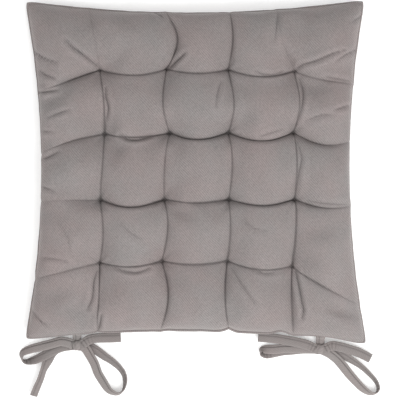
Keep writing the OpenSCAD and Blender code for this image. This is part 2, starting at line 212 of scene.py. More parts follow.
# Sideways, forwards and up from the tie's pivot on the floor, then the roll of the tape in
# degrees. Each half of a tie leaves the knot as a loop, returns and ends in a cut tail.
ROUTES = {
    "left_outer_loop": (
        (-4, -6.0, 7, -5), (-9, -3.8, 7.2, -6), (-14, -2.5, 7.4, -7), (-20, -2, 7.6, -8),
        (-31, -5, 7.8, -12), (-43, -8, 7.7, -15), (-55, -11, 7.4, -25), (-64, -15, 6.8, -45),
        (-66, -21, 6.5, -75), (-62, -26, 6, -110), (-53, -25, 5.5, -140), (-43, -21, 5, -158),
        (-34, -16, 4.8, -168), (-24, -11, 4.6, -170), (-15, -8, 4.4, -172), (-4, -6.8, 4, -178),
    ),
    "left_inner_tail": (
        (4, -6.9, 8.4, 0), (9, -3.2, 9.1, 0), (14, -0.1, 9, 0), (20, 1.7, 8.8, 0),
        (28, 2.3, 8.5, 0), (40, 2.4, 7.5, 0), (52, 3, 6.5, 0),
    ),
    "left_inner_loop": (
        (4, -6.8, 6.2, -8), (10, -10.5, 6.4, -10), (16, -20, 6.4, -15), (21, -29, 6.4, -15),
        (25, -40, 6.2, -18), (31, -50, 6, -25), (37, -59, 6, -38), (43, -63, 6, -55),
        (50, -64, 6, -75), (55, -59, 6, -100), (57, -50, 5.8, -115), (56, -42, 5.5, -122),
        (51, -34, 5, -130), (42, -26, 4.6, -140), (33, -20, 4, -152), (23, -13, 3, -165),
        (14, -8.5, 2.2, -175), (4, -6.8, 1.8, -180),
    ),
    "left_outer_tail": (
        (-4, -6.8, 1.5, 0), (-15, -8, 1.5, 0), (-24, -11, 1.5, 0), (-30, -16, 1.6, 0),
        (-34, -23, 2.1, 8), (-37, -29, 3.5, 30), (-40, -36, 5, 48), (-44, -48, 5, 50),
        (-48, -57, 4.8, 45), (-52, -67, 4.5, 40),
    ),
    "right_outer_loop": (
        (3, -8, 6.2, -8), (11, -12, 6.4, -10), (20, -19, 6.4, -14), (27, -27, 6.4, -15),
        (35, -37, 6.2, -18), (43, -46, 6, -25), (51, -54, 6, -38), (59, -59, 6, -58),
        (66, -59, 6, -85), (69, -53, 6, -105), (66, -45, 5.8, -112), (58, -36, 5.4, -118),
        (48, -27, 5, -126), (36, -19, 4.4, -140), (25, -13, 3.4, -158), (16, -9, 2.2, -172),
        (4, -6.9, 1.8, -180),
    ),
    "right_inner_tail": (
        (-4, -7, 8.4, 0), (-10, -4, 9.2, 0), (-18, -1, 9.2, 0), (-31, 2, 8.8, 0),
        (-42, 4, 8.2, 0), (-51, 5.5, 7.5, 0), (-62, 6.5, 7, 0), (-74, 7.5, 6.5, 0),
    ),
    "right_inner_loop": (
        (-4, -7, 5.9, -3), (-12, -6.5, 5.9, -5), (-21, -6, 5.8, -6), (-32, -6, 5.6, -8),
        (-43, -6, 5.6, -10), (-54, -7, 5.6, -12), (-64, -7, 5.8, -28), (-70, -8, 5.9, -60),
        (-70, -12, 5.9, -115), (-64, -13, 3.6, -155), (-54, -11, 2, -175), (-43, -9, 1.8, -178),
        (-32, -8, 1.8, -178), (-21, -7, 1.8, -178), (-4, -7, 1.8, -180),
    ),
    "right_outer_tail": (
        (4, -7, 8.4, 0), (9, -4.5, 9.2, 0), (14, -2.5, 9.2, 0), (23, -4, 8.5, 0),
        (34, -7, 7.5, 0), (46, -11, 6.5, 0), (60, -18, 5.5, 0),
    ),
    "neck": (
        (0, 11, 14, 0), (0, 7.2, 14, 0), (0, 6.3, 13.4, 0), (0, 6, 11.5, 0),
        (0, 5.8, 9, 0), (0, 5.1, 7.2, 0), (0, 3.4, 6, 0), (0, -0.9, 6, 0),
    ),
}
# Half outline of the folded tape: shares of its half width, closer beside the stitched line
STITCH_LINE = 0.46
TAPE_SHARES = (1, 0.97, 0.9, 0.8, 0.68, 0.57, 0.51, STITCH_LINE, 0.41, 0.34, 0.2, 0,
               -0.2, -0.4, -0.6, -0.78, -0.9, -0.97)

# Curvature in 1/m from which the tape puckers on the inside of its turn, and puckers fully
PUCKER_FROM = 22
PUCKER_FULL = 62

# The knot's wrap: middle, off the tie's pivot, radii, half width, and lean in degrees
KNOT_MIDDLE = (0, -6.7, 5.8)
KNOT_RADIUS_Y = 4.8
KNOT_RADIUS_Z = 4.5
KNOT_HALF_WIDTH = 5.1
KNOT_LEAN = {"left": 8, "right": -24}

# Each half of a tie: its loop, its tail and the edge of the tape that is stitched
HALVES = {
    "left_tie_outer_half": ("left", "left_outer_loop", "left_inner_tail", 1),
    "left_tie_inner_half": ("left", "left_inner_loop", "left_outer_tail", -1),
    "right_tie_outer_half": ("right", "right_outer_loop", "right_inner_tail", -1),
    "right_tie_inner_half": ("right", "right_inner_loop", "right_outer_tail", 1),
}


# ---------------------------------------------------------------- the stage, in metres

# Middle and width of what the camera sees, at the height of the tufts
VIEW_MIDDLE = (0.0051, -0.0334)
VIEW_WIDTH = 0.4732
VIEW_HEIGHT = 0.018
FLOOR_REACH = 6
# Soft boxes: name, place, side and share of the key light's power
LAMPS = (
    ("key_light", (0.75, -0.95, 1.35), 1.1, 1),
    ("fill_light", (-1.3, -0.2, 1.6), 1.8, 0.45),
)


# ---------------------------------------------------------------- what a user may change


class PadSizes(bpy.types.PropertyGroup):
    """Sizes of the stuffed pad"""

    crown: FloatProperty(
        name="Crown", description="Height of a pillow's crown before it is blown up",
        default=0.0445, min=0.03, max=0.06, unit="LENGTH")
    fold: FloatProperty(
        name="Fold", description="Height of the crease between two tufts",
        default=0.0365, min=0.02, max=0.05, unit="LENGTH")
    tuft: FloatProperty(
        name="Tuft", description="Height of the cloth where a tuft pulls it down",
        default=0.0215, min=0.01, max=0.04, unit="LENGTH")
    seam: FloatProperty(
        name="Seam", description="Height of the sewn edge above the seat",
        default=0.014, min=0.008, max=0.02, unit="LENGTH")
    side_pull: FloatProperty(
        name="Side Pull", description="How far the left and right edges pull in",
        default=0.0195, min=0, max=0.03, unit="LENGTH")
    end_pull: FloatProperty(
        name="End Pull", description="How far the front and rear edges pull in",
        default=0.0145, min=0, max=0.03, unit="LENGTH")
    pressure: FloatProperty(
        name="Pressure", description="Pressure of the filling in the cloth simulation",
        default=4.0, min=0, max=15)
    crease: FloatProperty(
        name="Crease", description="How deep the cloth folds in along the quilting",
        default=0.0017, min=0, max=0.006, unit="LENGTH")
    steps: IntProperty(
        name="Steps", description="Simulated steps across one pillow", default=18, min=6, max=30)
    detail: IntProperty(
        name="Detail", description="Finished steps across one pillow", default=60, min=12, max=90)


class TapeSizes(bpy.types.PropertyGroup):
    """Sizes of the tie tape and its stitches"""

    width: FloatProperty(
        name="Width", description="Width of the folded tape",
        default=0.0114, min=0.006, max=0.016, unit="LENGTH")
    thickness: FloatProperty(
        name="Thickness", description="Thickness of the folded tape",
        default=0.0024, min=0.001, max=0.003, unit="LENGTH")
    stitch_gap: FloatProperty(
        name="Stitch Spacing", description="Distance from one stitch to the next",
        default=0.0028, min=0.001, max=0.005, unit="LENGTH")
    stitch_length: FloatProperty(
        name="Stitch Length", description="Length of the thread that shows in one stitch",
        default=0.0021, min=0.001, max=0.004, unit="LENGTH")
    thread: FloatProperty(
        name="Thread", description="Thickness of the sewing thread",
        default=0.00038, min=0.0002, max=0.001, unit="LENGTH")


class ClothLook(bpy.types.PropertyGroup):
    """Colours and weave of the cotton twill"""

    cover: FloatVectorProperty(
        name="Cover", description="Colour of the cover cloth",
        default=(0.2240, 0.1998, 0.1950), min=0, max=1, subtype="COLOR")
    tape: FloatVectorProperty(
        name="Tape", description="Colour of the tie tape",
        default=(0.243, 0.220, 0.213), min=0, max=1, subtype="COLOR")
    thread: FloatVectorProperty(
        name="Thread", description="Colour of the sewing thread",
        default=(0.115, 0.103, 0.100), min=0, max=1, subtype="COLOR")
    filling: FloatVectorProperty(
        name="Filling", description="Colour of the fibre filling",
        default=(0.86, 0.86, 0.83), min=0, max=1, subtype="COLOR")
    twill: FloatProperty(
        name="Twill", description="Distance between two diagonal lines of the weave",
        default=0.0021, min=0.0008, max=0.004, unit="LENGTH")


class StudioLook(bpy.types.PropertyGroup):
    """Light and floor"""

    key: FloatProperty(
        name="Key Light", description="Power of the soft key light",
        default=26.0, min=0, max=200, unit="POWER")
    sky: FloatProperty(
        name="Sky", description="Strength of the even light from all round",
        default=0.62, min=0, max=3)
    floor: FloatVectorProperty(
        name="Floor", description="Colour of the floor",
        default=(0.93, 0.93, 0.925), min=0, max=1, subtype="COLOR")
    camera: FloatProperty(
        name="Camera Height", description="Height of the camera above the floor",
        default=2.6, min=1, max=6, unit="LENGTH")


# ---------------------------------------------------------------- meshes


def new_object(name, verts, faces, material, smooth=True):
    """A mesh object with its place in its mesh."""
    mesh = bpy.data.meshes.new(name)
    mesh.from_pydata([tuple(v) for v in verts], [], faces)
    mesh.materials.append(material)
    mesh.polygons.foreach_set("use_smooth", [smooth] * len(mesh.polygons))
    mesh.update()
    obj = bpy.data.objects.new(name, mesh)
    bpy.context.collection.objects.link(obj)
    return obj


def point_values(obj, name, values):
    """Stores one number for each vertex, for a material to read."""
    layer = obj.data.attributes.new(name, "FLOAT", "POINT")
    layer.data.foreach_set("value", np.asarray(values, np.float32).ravel())


def apply_modifiers(obj):
    """Replaces the object's mesh by what its modifiers make of it."""
    graph = bpy.context.evaluated_depsgraph_get()
    graph.update()
    made = bpy.data.meshes.new_from_object(obj.evaluated_get(graph))
    old = obj.data
    obj.modifiers.clear()
    obj.data = made
    made.name = obj.name
    bpy.data.meshes.remove(old)


def pillow_places(steps):
    """Finished grid lines in pillows from 0 to 5, closer together beside the quilting."""
    part = np.arange(steps) / steps
    part = part - 0.45 * np.sin(2 * math.pi * part) / (2 * math.pi)
    return np.concatenate([k + part for k in range(PILLOWS)] + [[PILLOWS]])


def spline(a, b, c, d, t):
    """Catmull-Rom curve between b and c, at the share t of the way."""
    return 0.5 * (2 * b + (c - a) * t + (2 * a - 5 * b + 4 * c - d) * t * t
                  + (3 * b - a - 3 * c + d) * t ** 3)


def resample(grid, places, steps, axis):
    """The grid on finer lines, smooth inside each pillow and sharp where two pillows meet."""
    p = np.moveaxis(grid, axis, 0)
    out = np.empty((len(places),) + p.shape[1:])
    for k in range(PILLOWS):
        cell = p[k * steps:(k + 1) * steps + 1]
        q = np.concatenate([2 * cell[:1] - cell[1:2], cell, 2 * cell[-1:] - cell[-2:-1]])
        inside = (places >= k) & (places <= k + 1)
        at = (places[inside] - k) * steps
        whole = np.minimum(at.astype(int), steps - 1)
        t = (at - whole).reshape((-1,) + (1,) * (p.ndim - 1))
        out[inside] = spline(*(q[whole + m] for m in range(4)), t)
    return np.moveaxis(out, 0, axis)


def smooth_route(points, steps):
    """A smooth curve through the route's points, each with its roll."""
    p = [2 * points[0] - points[1]] + list(points) + [2 * points[-1] - points[-2]]
    out = []
    for a, b, c, d in zip(p, p[1:], p[2:], p[3:]):
        out += [spline(a, b, c, d, k / steps) for k in range(steps)]
    out.append(p[-2])
    return np.array(out)


def grid_faces(columns, rows, flip=False, offset=0):
    """Quads of a grid of points stored row by row."""
    faces = []
    for b in range(rows - 1):
        for a in range(columns - 1):
            k = offset + a + b * columns
            quad = (k, k + 1, k + columns + 1, k + columns)
            faces.append(quad[::-1] if flip else quad)
    return faces


def ring_faces(rings, count, closed):
    """Quads between rings of count points each, joined end to end if closed."""
    faces = []
    for r in range(rings if closed else rings - 1):
        s = (r + 1) % rings
        for m in range(count):
            n = (m + 1) % count
            faces.append((r * count + m, s * count + m, s * count + n, r * count + n))
    if not closed:
        faces.append(tuple(range(count)))
        faces.append(tuple((rings - 1) * count + m for m in reversed(range(count))))
    return faces


def outward(obj):
    """Turns the faces of a closed mesh outwards."""
    shell = bmesh.new()
    shell.from_mesh(obj.data)
    bmesh.ops.recalc_face_normals(shell, faces=shell.faces)
    shell.to_mesh(obj.data)
    shell.free()
    obj.data.update()


# ---------------------------------------------------------------- materials


def node(tree, kind, place, **values):
    """A shader or geometry node. Numbered or named sockets are set from values."""
    made = tree.nodes.new(kind)
    made.location = place
    for key, value in values.items():
        if hasattr(made, key):
            setattr(made, key, value)
        else:
            made.inputs[key.replace("_", " ")].default_value = value
    return made


def math_node(tree, place, operation, a, b=None, clamp=False):
    """A Math node whose inputs are sockets or numbers."""
    made = node(tree, "ShaderNodeMath", place, operation=operation, use_clamp=clamp)
    for k, value in enumerate((a, b)):
        if value is None:
            continue
        if isinstance(value, bpy.types.NodeSocket):
            tree.links.new(value, made.inputs[k])
        else:
            made.inputs[k].default_value = value
    return made.outputs[0]


def shader_group(name, inputs, outputs):
    """An empty node group with its sockets: (name, kind, default)."""
    group = bpy.data.node_groups.new(name, "ShaderNodeTree")
    for label, kind, value in inputs:
        socket = group.interface.new_socket(label, in_out="INPUT", socket_type=kind)
        if value is not None:
            socket.default_value = value
    for label, kind in outputs:
        group.interface.new_socket(label, in_out="OUTPUT", socket_type=kind)
    start = node(group, "NodeGroupInput", (-1000, 0))
    end = node(group, "NodeGroupOutput", (900, 0))
    return group, start, end


def twill_group():
    """Diagonal lines of twill with the single yarns that make them."""
    if "Twill Weave" in bpy.data.node_groups:
        return bpy.data.node_groups["Twill Weave"]
    group, start, end = shader_group(
        "Twill Weave",
        (("Vector", "NodeSocketVector", None), ("Pitch", "NodeSocketFloat", 0.002),
         ("Angle", "NodeSocketFloat", -0.7), ("Drift", "NodeSocketFloat", 1.0)),
        (("Ridge", "NodeSocketFloat"), ("Height", "NodeSocketFloat"),
         ("Slub", "NodeSocketFloat")))
    link = group.links.new
    wander = node(group, "ShaderNodeTexNoise", (-800, -250), Scale=38.0, Detail=3.0)
    link(start.outputs["Vector"], wander.inputs["Vector"])
    turned = node(group, "ShaderNodeVectorRotate", (-800, 150), rotation_type="Z_AXIS")
    link(start.outputs["Vector"], turned.inputs["Vector"])
    link(start.outputs["Angle"], turned.inputs["Angle"])
    parts = node(group, "ShaderNodeSeparateXYZ", (-620, 150))
    link(turned.outputs[0], parts.inputs[0])
    drift = math_node(group, (-620, -250), "MULTIPLY", wander.outputs["Fac"],
                      start.outputs["Drift"])
    across = math_node(group, (-440, 250), "DIVIDE", parts.outputs["X"],
                       start.outputs["Pitch"])
    along = math_node(group, (-440, 50), "DIVIDE", parts.outputs["Y"],
                      start.outputs["Pitch"])
    across = math_node(group, (-260, 250), "ADD", across, drift)
    phase = math_node(group, (-80, 250), "MULTIPLY", across, 2 * math.pi)
    wave = math_node(group, (100, 250), "SINE", phase)
    ridge = math_node(group, (200, 250), "MULTIPLY_ADD", wave, 0.5)
    ridge.node.inputs[2].default_value = 0.5
    ridge = math_node(group, (340, 250), "POWER", ridge, 0.6)
    step = math_node(group, (-260, 50), "MULTIPLY_ADD", along, 1.9)
    link(math_node(group, (-260, -80), "FLOOR", across), step.node.inputs[2])
    yarn = math_node(group, (100, 50), "SINE",
                     math_node(group, (-80, 50), "MULTIPLY", step, 2 * math.pi))
    yarn = math_node(group, (280, 50), "MULTIPLY", yarn, 0.22)
    height = math_node(group, (460, 150), "ADD", ridge, yarn)
    slub = node(group, "ShaderNodeTexNoise", (-80, -300), Scale=520.0, Detail=2.0)
    link(turned.outputs[0], slub.inputs["Vector"])
    rough = math_node(group, (280, -200), "MULTIPLY", slub.outputs["Fac"], 0.7)
    link(height, end.inputs["Ridge"])
    link(math_node(group, (640, 150), "ADD", height, rough), end.inputs["Height"])
    link(slub.outputs["Fac"], end.inputs["Slub"])
    return group


def tone_group():
    """Colour of the cotton: warm and cool patches and weave lines, with painted shade darkening
    the creases and a painted highlight, partly real wear, paling ridges and rims.
    """
    if "Cotton Tone" in bpy.data.node_groups:
        return bpy.data.node_groups["Cotton Tone"]
    group, start, end = shader_group(
        "Cotton Tone",
        (("Vector", "NodeSocketVector", None),
         ("Color", "NodeSocketColor", (0.3, 0.26, 0.26, 1)),
         ("Ridge", "NodeSocketFloat", 0.5), ("Slub", "NodeSocketFloat", 0.5),
         ("Crease", "NodeSocketFloat", 0.0), ("Wear and Painted Highlight", "NodeSocketFloat", 0.0),
         ("Weave Contrast", "NodeSocketFloat", 0.2), ("Mottle", "NodeSocketFloat", 0.5)),
        (("Color", "NodeSocketColor"), ("Roughness", "NodeSocketFloat")))
    link = group.links.new
    patches = node(group, "ShaderNodeTexNoise", (-800, -200), Scale=17.0, Detail=4.0,
                   Roughness=0.62)
    link(start.outputs["Vector"], patches.inputs["Vector"])
    spread = node(group, "ShaderNodeMapRange", (-620, -200))
    spread.inputs["From Min"].default_value = 0.32
    spread.inputs["From Max"].default_value = 0.68
    link(patches.outputs["Fac"], spread.inputs["Value"])
    tint = node(group, "ShaderNodeMix", (-440, 200), data_type="RGBA")
    tint.inputs["A"].default_value = (1.045, 0.985, 0.985, 1)
    tint.inputs["B"].default_value = (0.965, 1.01, 1.015, 1)
    link(spread.outputs["Result"], tint.inputs["Factor"])
    shade = node(group, "ShaderNodeMix", (-260, 200), data_type="RGBA",
                 blend_type="MULTIPLY")
    link(start.outputs["Mottle"], shade.inputs["Factor"])
    link(start.outputs["Color"], shade.inputs["A"])
    link(tint.outputs["Result"], shade.inputs["B"])
    woven = math_node(group, (-440, -60), "SUBTRACT", start.outputs["Ridge"], 0.61)
    fuzz = math_node(group, (-440, -420), "SUBTRACT", start.outputs["Slub"], 0.5)
    fuzz = math_node(group, (-260, -420), "MULTIPLY", fuzz, 1.6)
    both = math_node(group, (-100, -200), "ADD", woven, fuzz)
    both = math_node(group, (60, -200), "MULTIPLY", both, start.outputs["Weave Contrast"])
    # Painted shade: the crease input darkens the colour where creases, folds, grooves and pits
    # would fall into shade.
    dark = math_node(group, (60, -400), "MULTIPLY", start.outputs["Crease"], -0.44)
    # Painted highlight, partly real wear: the wear input makes the colour paler on ridges, rims
    # and edges.
    pale = math_node(group, (60, -560), "MULTIPLY", start.outputs["Wear and Painted Highlight"], 0.12)
    gain = math_node(group, (240, -300), "ADD", dark, pale)
    gain = math_node(group, (400, -200), "ADD", gain, both)
    gain = math_node(group, (560, -200), "ADD", gain, 1.0)
    scaled = node(group, "ShaderNodeVectorMath", (720, 100), operation="SCALE")
    link(shade.outputs["Result"], scaled.inputs[0])
    link(gain, scaled.inputs["Scale"])
    link(scaled.outputs[0], end.inputs["Color"])
    rough = math_node(group, (560, -480), "MULTIPLY", start.outputs["Wear and Painted Highlight"], -0.08)
    link(math_node(group, (720, -480), "ADD", rough, 0.88), end.inputs["Roughness"])
    return group


def woven_material(name, colour, source, pitch, angle, drift, contrast, bump, relief):
    """What cloth and thread share: the weave, its tone and its relief. source is Object or UV.
    Gives the material, its Principled shader and its tone node."""
    material = bpy.data.materials.new(name)
    material.use_nodes = True
    tree = material.node_tree
    link = tree.links.new
    shader = tree.nodes["Principled BSDF"]
    coords = node(tree, "ShaderNodeTexCoord", (-1100, 0))
    weave = node(tree, "ShaderNodeGroup", (-800, 0))
    weave.node_tree = twill_group()
    weave.inputs["Pitch"].default_value = pitch
    weave.inputs["Angle"].default_value = angle
    weave.inputs["Drift"].default_value = drift
    tone = node(tree, "ShaderNodeGroup", (-500, 100))
    tone.node_tree = tone_group()
    tone.inputs["Color"].default_value = (*colour, 1)
    tone.inputs["Weave Contrast"].default_value = contrast
    raised = node(tree, "ShaderNodeBump", (-500, -300))
    raised.inputs["Strength"].default_value = bump
    raised.inputs["Distance"].default_value = relief
    link(coords.outputs[source], weave.inputs["Vector"])
    link(coords.outputs["Object"], tone.inputs["Vector"])
    link(weave.outputs["Ridge"], tone.inputs["Ridge"])
    link(weave.outputs["Slub"], tone.inputs["Slub"])
    link(weave.outputs["Height"], raised.inputs["Height"])
    link(tone.outputs["Color"], shader.inputs["Base Color"])
    link(raised.outputs["Normal"], shader.inputs["Normal"])
    return material, shader, tone


def cloth_material(name, colour, source, contrast=0.2, mottle=0.7, bump=0.3, angle=-0.75):
    """Soft cotton twill. source is Object for the covers and UV for the tapes."""
    look = bpy.context.scene.seat_pad_cloth
    material, cloth, tone = woven_material(name, colour, source, look.twill, angle, 2.2,
                                           contrast, bump, 0.00035)
    tree = material.node_tree
    link = tree.links.new
    tone.inputs["Mottle"].default_value = mottle
    # The crease attribute carries painted shade in creases and grooves. The wear attribute carries
    # painted highlight on ridges and edges, and on the covers random paler wear as well.
    folds = node(tree, "ShaderNodeAttribute", (-800, -300), attribute_name="crease")
    wear_and_painted_highlight = node(tree, "ShaderNodeAttribute", (-800, -480), attribute_name="wear_and_painted_highlight")
    link(folds.outputs["Fac"], tone.inputs["Crease"])
    link(wear_and_painted_highlight.outputs["Fac"], tone.inputs["Wear and Painted Highlight"])
    link(tone.outputs["Roughness"], cloth.inputs["Roughness"])
    cloth.inputs["Specular IOR Level"].default_value = 0.18
    cloth.inputs["Sheen Weight"].default_value = 0.22
    cloth.inputs["Sheen Roughness"].default_value = 0.45
    cloth.inputs["Sheen Tint"].default_value = (0.95, 0.92, 0.9, 1)
    return material


def thread_material():
    """Twisted cotton thread."""
    if "sewing_thread" in bpy.data.materials:
        return bpy.data.materials["sewing_thread"]
    colour = bpy.context.scene.seat_pad_cloth.thread
    material, thread, _ = woven_material("sewing_thread", colour, "Object", 0.0005, 0.5, 1.0,
                                         0.35, 0.4, 0.0001)
    thread.inputs["Roughness"].default_value = 0.7
    thread.inputs["Specular IOR Level"].default_value = 0.3
    return material


def filling_material():
    """Matted white fibre."""
    colour = bpy.context.scene.seat_pad_cloth.filling
    material = bpy.data.materials.new("fibre_filling")
    material.use_nodes = True
    tree = material.node_tree
    link = tree.links.new
    coords = node(tree, "ShaderNodeTexCoord", (-900, 0))
    strands = node(tree, "ShaderNodeTexNoise", (-700, 0), Scale=210.0, Detail=7.0,
                   Distortion=2.5)
    clumps = node(tree, "ShaderNodeTexNoise", (-700, -250), Scale=24.0, Detail=3.0)
    shade = node(tree, "ShaderNodeMix", (-450, 0), data_type="RGBA")
    shade.inputs["A"].default_value = (*(0.82 * c for c in colour), 1)
    shade.inputs["B"].default_value = (*colour, 1)
    relief = node(tree, "ShaderNodeBump", (-450, -300))
    relief.inputs["Strength"].default_value = 0.8
    relief.inputs["Distance"].default_value = 0.0012
    link(coords.outputs["Object"], strands.inputs["Vector"])
    link(coords.outputs["Object"], clumps.inputs["Vector"])
    link(clumps.outputs["Fac"], shade.inputs["Factor"])
    link(strands.outputs["Fac"], relief.inputs["Height"])
    fibre = tree.nodes["Principled BSDF"]
    link(shade.outputs["Result"], fibre.inputs["Base Color"])
    link(relief.outputs["Normal"], fibre.inputs["Normal"])
    fibre.inputs["Roughness"].default_value = 0.95
    fibre.inputs["Sheen Weight"].default_value = 0.3
    return material


# ---------------------------------------------------------------- the quilted covers


def tuft_places():
    """Where the 16 tufts go through the pad, in mm: rows from the front, left to right."""
    places = np.zeros((ROWS, ROWS, 2))
    for r in range(ROWS):
        for c in range(ROWS):
            low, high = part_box(f"tuft_r{r + 1}_c{c + 1}")
            places[r, c] = [(low[k] + high[k]) / 2 / MM for k in (0, 1)]
    return places


# What several operators need of the pad, made once: the tufts' places and the covers' grids
PAD = {}


def tuft_grid():
    """The tufts' places, read from the frame once."""
    if "tufts" not in PAD:
        PAD["tufts"] = tuft_places()
    return PAD["tufts"]


def edge_share(place, start, end):
    """Where a place lies along an edge, from -1 at its start to 1 at its end."""
    return 2 * (place - start) / (end - start) - 1


def outline_point(u, v, sizes):
    """A point of the flat pad in mm: u and v run from -1 to 1."""
    s, t = (u + 1) / 2, (v + 1) / 2
    corners = [np.array(c) for c in (REAR_LEFT, REAR_RIGHT, FRONT_LEFT, FRONT_RIGHT)]
    flat = ((corners[0] * (1 - s) + corners[1] * s) * (1 - t)
            + (corners[2] * (1 - s) + corners[3] * s) * t)
    pull = np.array([u * sizes.side_pull / MM * (1 - v * v),
                     v * sizes.end_pull / MM * (1 - u * u)])
    tip = CORNER_CUT * abs(u * v) ** 30
    point = flat - pull - np.array([math.copysign(tip, u), math.copysign(tip, v)])
    nick = sum(d * math.exp(-((point[0] - x) / w) ** 2) for x, w, d in REAR_NICKS)
    rear = max(0.0, -v) ** 6
    return point + np.array([0, nick * rear])


def quilt_lines(sizes):
    """Shares (u, v) and shift in mm of each crossing of the 6 x 6 quilting lines."""
    tufts = tuft_grid()
    share = np.zeros((PILLOWS + 1, PILLOWS + 1, 2))
    shift = np.zeros((PILLOWS + 1, PILLOWS + 1, 2))
    steps = [TUFT_PITCH * (k - PILLOWS / 2) for k in range(1, PILLOWS)]
    lines_u = [-1] + [(GRID_RIGHT + step) / HALF_SIDE for step in steps] + [1]
    lines_v = [-1] + [(GRID_AHEAD + step) / HALF_SIDE for step in steps] + [1]
    for i in range(PILLOWS + 1):
        for j in range(PILLOWS + 1):
            u, v = lines_u[i], lines_v[j]
            if 0 < j < PILLOWS and i == 0:
                v = edge_share(LEFT_ENDS[j - 1], REAR_LEFT[1], FRONT_LEFT[1])
            if 0 < j < PILLOWS and i == PILLOWS:
                v = edge_share(RIGHT_ENDS[j - 1], REAR_RIGHT[1], FRONT_RIGHT[1])
            if 0 < i < PILLOWS and j == 0:
                u = edge_share(REAR_ENDS[i - 1], REAR_LEFT[0], REAR_RIGHT[0])
            if 0 < i < PILLOWS and j == PILLOWS:
                u = edge_share(FRONT_ENDS[i - 1], FRONT_LEFT[0], FRONT_RIGHT[0])
            share[i, j] = u, v
            if 0 < i < PILLOWS and 0 < j < PILLOWS:
                shift[i, j] = tufts[ROWS - j, i - 1] - outline_point(u, v, sizes)
    return share, shift


def cell_and_part(k, steps):
    """The pillow that a grid step lies in, and how far across it."""
    cell = min(k // steps, PILLOWS - 1)
    part = k / steps - cell
    if cell == 0:
        part = part ** EDGE_CROWDING
    if cell == PILLOWS - 1:
        part = 1 - (1 - part) ** EDGE_CROWDING
    return cell, part


def rim_share(cell, part):
    """0 on the sewn edge, 1 past the rounded rim."""
    from_edge = part if cell == 0 else 1 - part if cell == PILLOWS - 1 else 1
    return math.sqrt(max(0, 1 - (1 - min(1, from_edge / RIM_WIDTH)) ** 2))


def swell_share(cell, part):
    """0 on a line of tufts, 1 on the crown of a pillow."""
    if cell == 0:
        part = (1 - part) / 2
    elif cell == PILLOWS - 1:
        part = part / 2
    return math.sin(math.pi * part) ** PILLOW_ROUND


def inner(table, row, column):
    """A value of a table of creases, or 0 on the sewn edge."""
    return table[row][column] if 0 <= row < len(table) and 0 <= column < len(table[0]) else 0


def quilt_start(sizes):
    """The pad before it is blown up: places of the grid, top and underside heights in mm."""
    share, shift = quilt_lines(sizes)
    n = sizes.steps
    size = PILLOWS * n + 1
    crown, fold = sizes.crown / MM, sizes.fold / MM
    tuft, seam = sizes.tuft / MM, sizes.seam / MM
    place = np.zeros((size, size, 2))
    top = np.zeros((size, size))
    under = np.zeros((size, size))
    for a in range(size):
        i, s = cell_and_part(a, n)
        for b in range(size):
            j, t = cell_and_part(b, n)
            mix = ((share[i, j] * (1 - s) + share[i + 1, j] * s) * (1 - t)
                   + (share[i, j + 1] * (1 - s) + share[i + 1, j + 1] * s) * t)
            move = ((shift[i, j] * (1 - s) + shift[i + 1, j] * s) * (1 - t)
                    + (shift[i, j + 1] * (1 - s) + shift[i + 1, j + 1] * s) * t)
            sag = inner(CROSS_SAG, j - 1, i) * (1 - t) + inner(CROSS_SAG, j, i) * t
            bow = inner(LENGTH_BOW, j, i - 1) * (1 - s) + inner(LENGTH_BOW, j, i) * s
            bend = np.array([bow * math.sin(math.pi * t), -sag * math.sin(math.pi * s)])
            place[a, b] = outline_point(mix[0], mix[1], sizes) + move + bend
            cross = inner(CROSS_DEPTH, j - 1, i) * (1 - t) + inner(CROSS_DEPTH, j, i) * t
            length = inner(LENGTH_DEPTH, j, i - 1) * (1 - s) + inner(LENGTH_DEPTH, j, i) * s
            cross = 1 - (1 - cross) * math.sin(math.pi * s)
            length = 1 - (1 - length) * math.sin(math.pi * t)
            length *= CREASE_AT_EDGE + (1 - CREASE_AT_EDGE) * rim_share(j, t)
            cross *= CREASE_AT_EDGE + (1 - CREASE_AT_EDGE) * rim_share(i, s)
            p = 1 - (1 - swell_share(i, s)) * length
            q = 1 - (1 - swell_share(j, t)) * cross
            height = tuft + (fold - tuft) * (p + q - p * q) + (crown - fold) * p * q
            rim = rim_share(i, s) * rim_share(j, t)
            top[a, b] = seam + (height - seam) * rim
            under[a, b] = seam * (1 - rim)
            for x, y in tuft_grid().reshape(-1, 2):
                under[a, b] += dimple_under(place[a, b] - (x, y)) * rim
    return place, top, under


def dimple_under(away):
    """How far a tuft draws the underside up, at a place that lies away from it."""
    gap = math.hypot(*away)
    if gap > 26:
        return 0
    return 4.0 * math.exp(-(gap / 7) ** 2) + 1.2 * math.exp(-(gap / 14) ** 2)


def empty_bag(place, top, under):
    """The two covers, sewn at the rim: corners, faces and the grids' numbers in the mesh."""
    size = len(top)
    last = size - 1
    verts, top_index, under_index = [], {}, {}
    for b in range(size):
        for a in range(size):
            top_index[a, b] = len(verts)
            verts.append((*place[a, b] * MM, top[a, b] * MM))
    for b in range(size):
        for a in range(size):
            if a in (0, last) or b in (0, last):
                under_index[a, b] = top_index[a, b]
            else:
                under_index[a, b] = len(verts)
                verts.append((*place[a, b] * MM, under[a, b] * MM))
    faces = []
    for b in range(last):
        for a in range(last):
            t = [top_index[k] for k in ((a, b), (a + 1, b), (a + 1, b + 1), (a, b + 1))]
            u = [under_index[k] for k in ((a, b), (a, b + 1), (a + 1, b + 1), (a + 1, b))]
            faces += [t, u]
    return verts, faces, top_index, under_index


def set_cloth(cloth, pressure):
    """Settings of the cover's cloth: held by its group, blown up from inside, weightless."""
    for name, value in CLOTH_SETTINGS.items():
        setattr(cloth.settings, name, value)
    cloth.settings.uniform_pressure_force = pressure
    cloth.settings.vertex_group_mass = "held"
    cloth.settings.effector_weights.gravity = 0
    cloth.collision_settings.use_collision = False
    cloth.collision_settings.use_self_collision = False
    cloth.point_cache.frame_start = 1
    cloth.point_cache.frame_end = BLOW_FRAMES


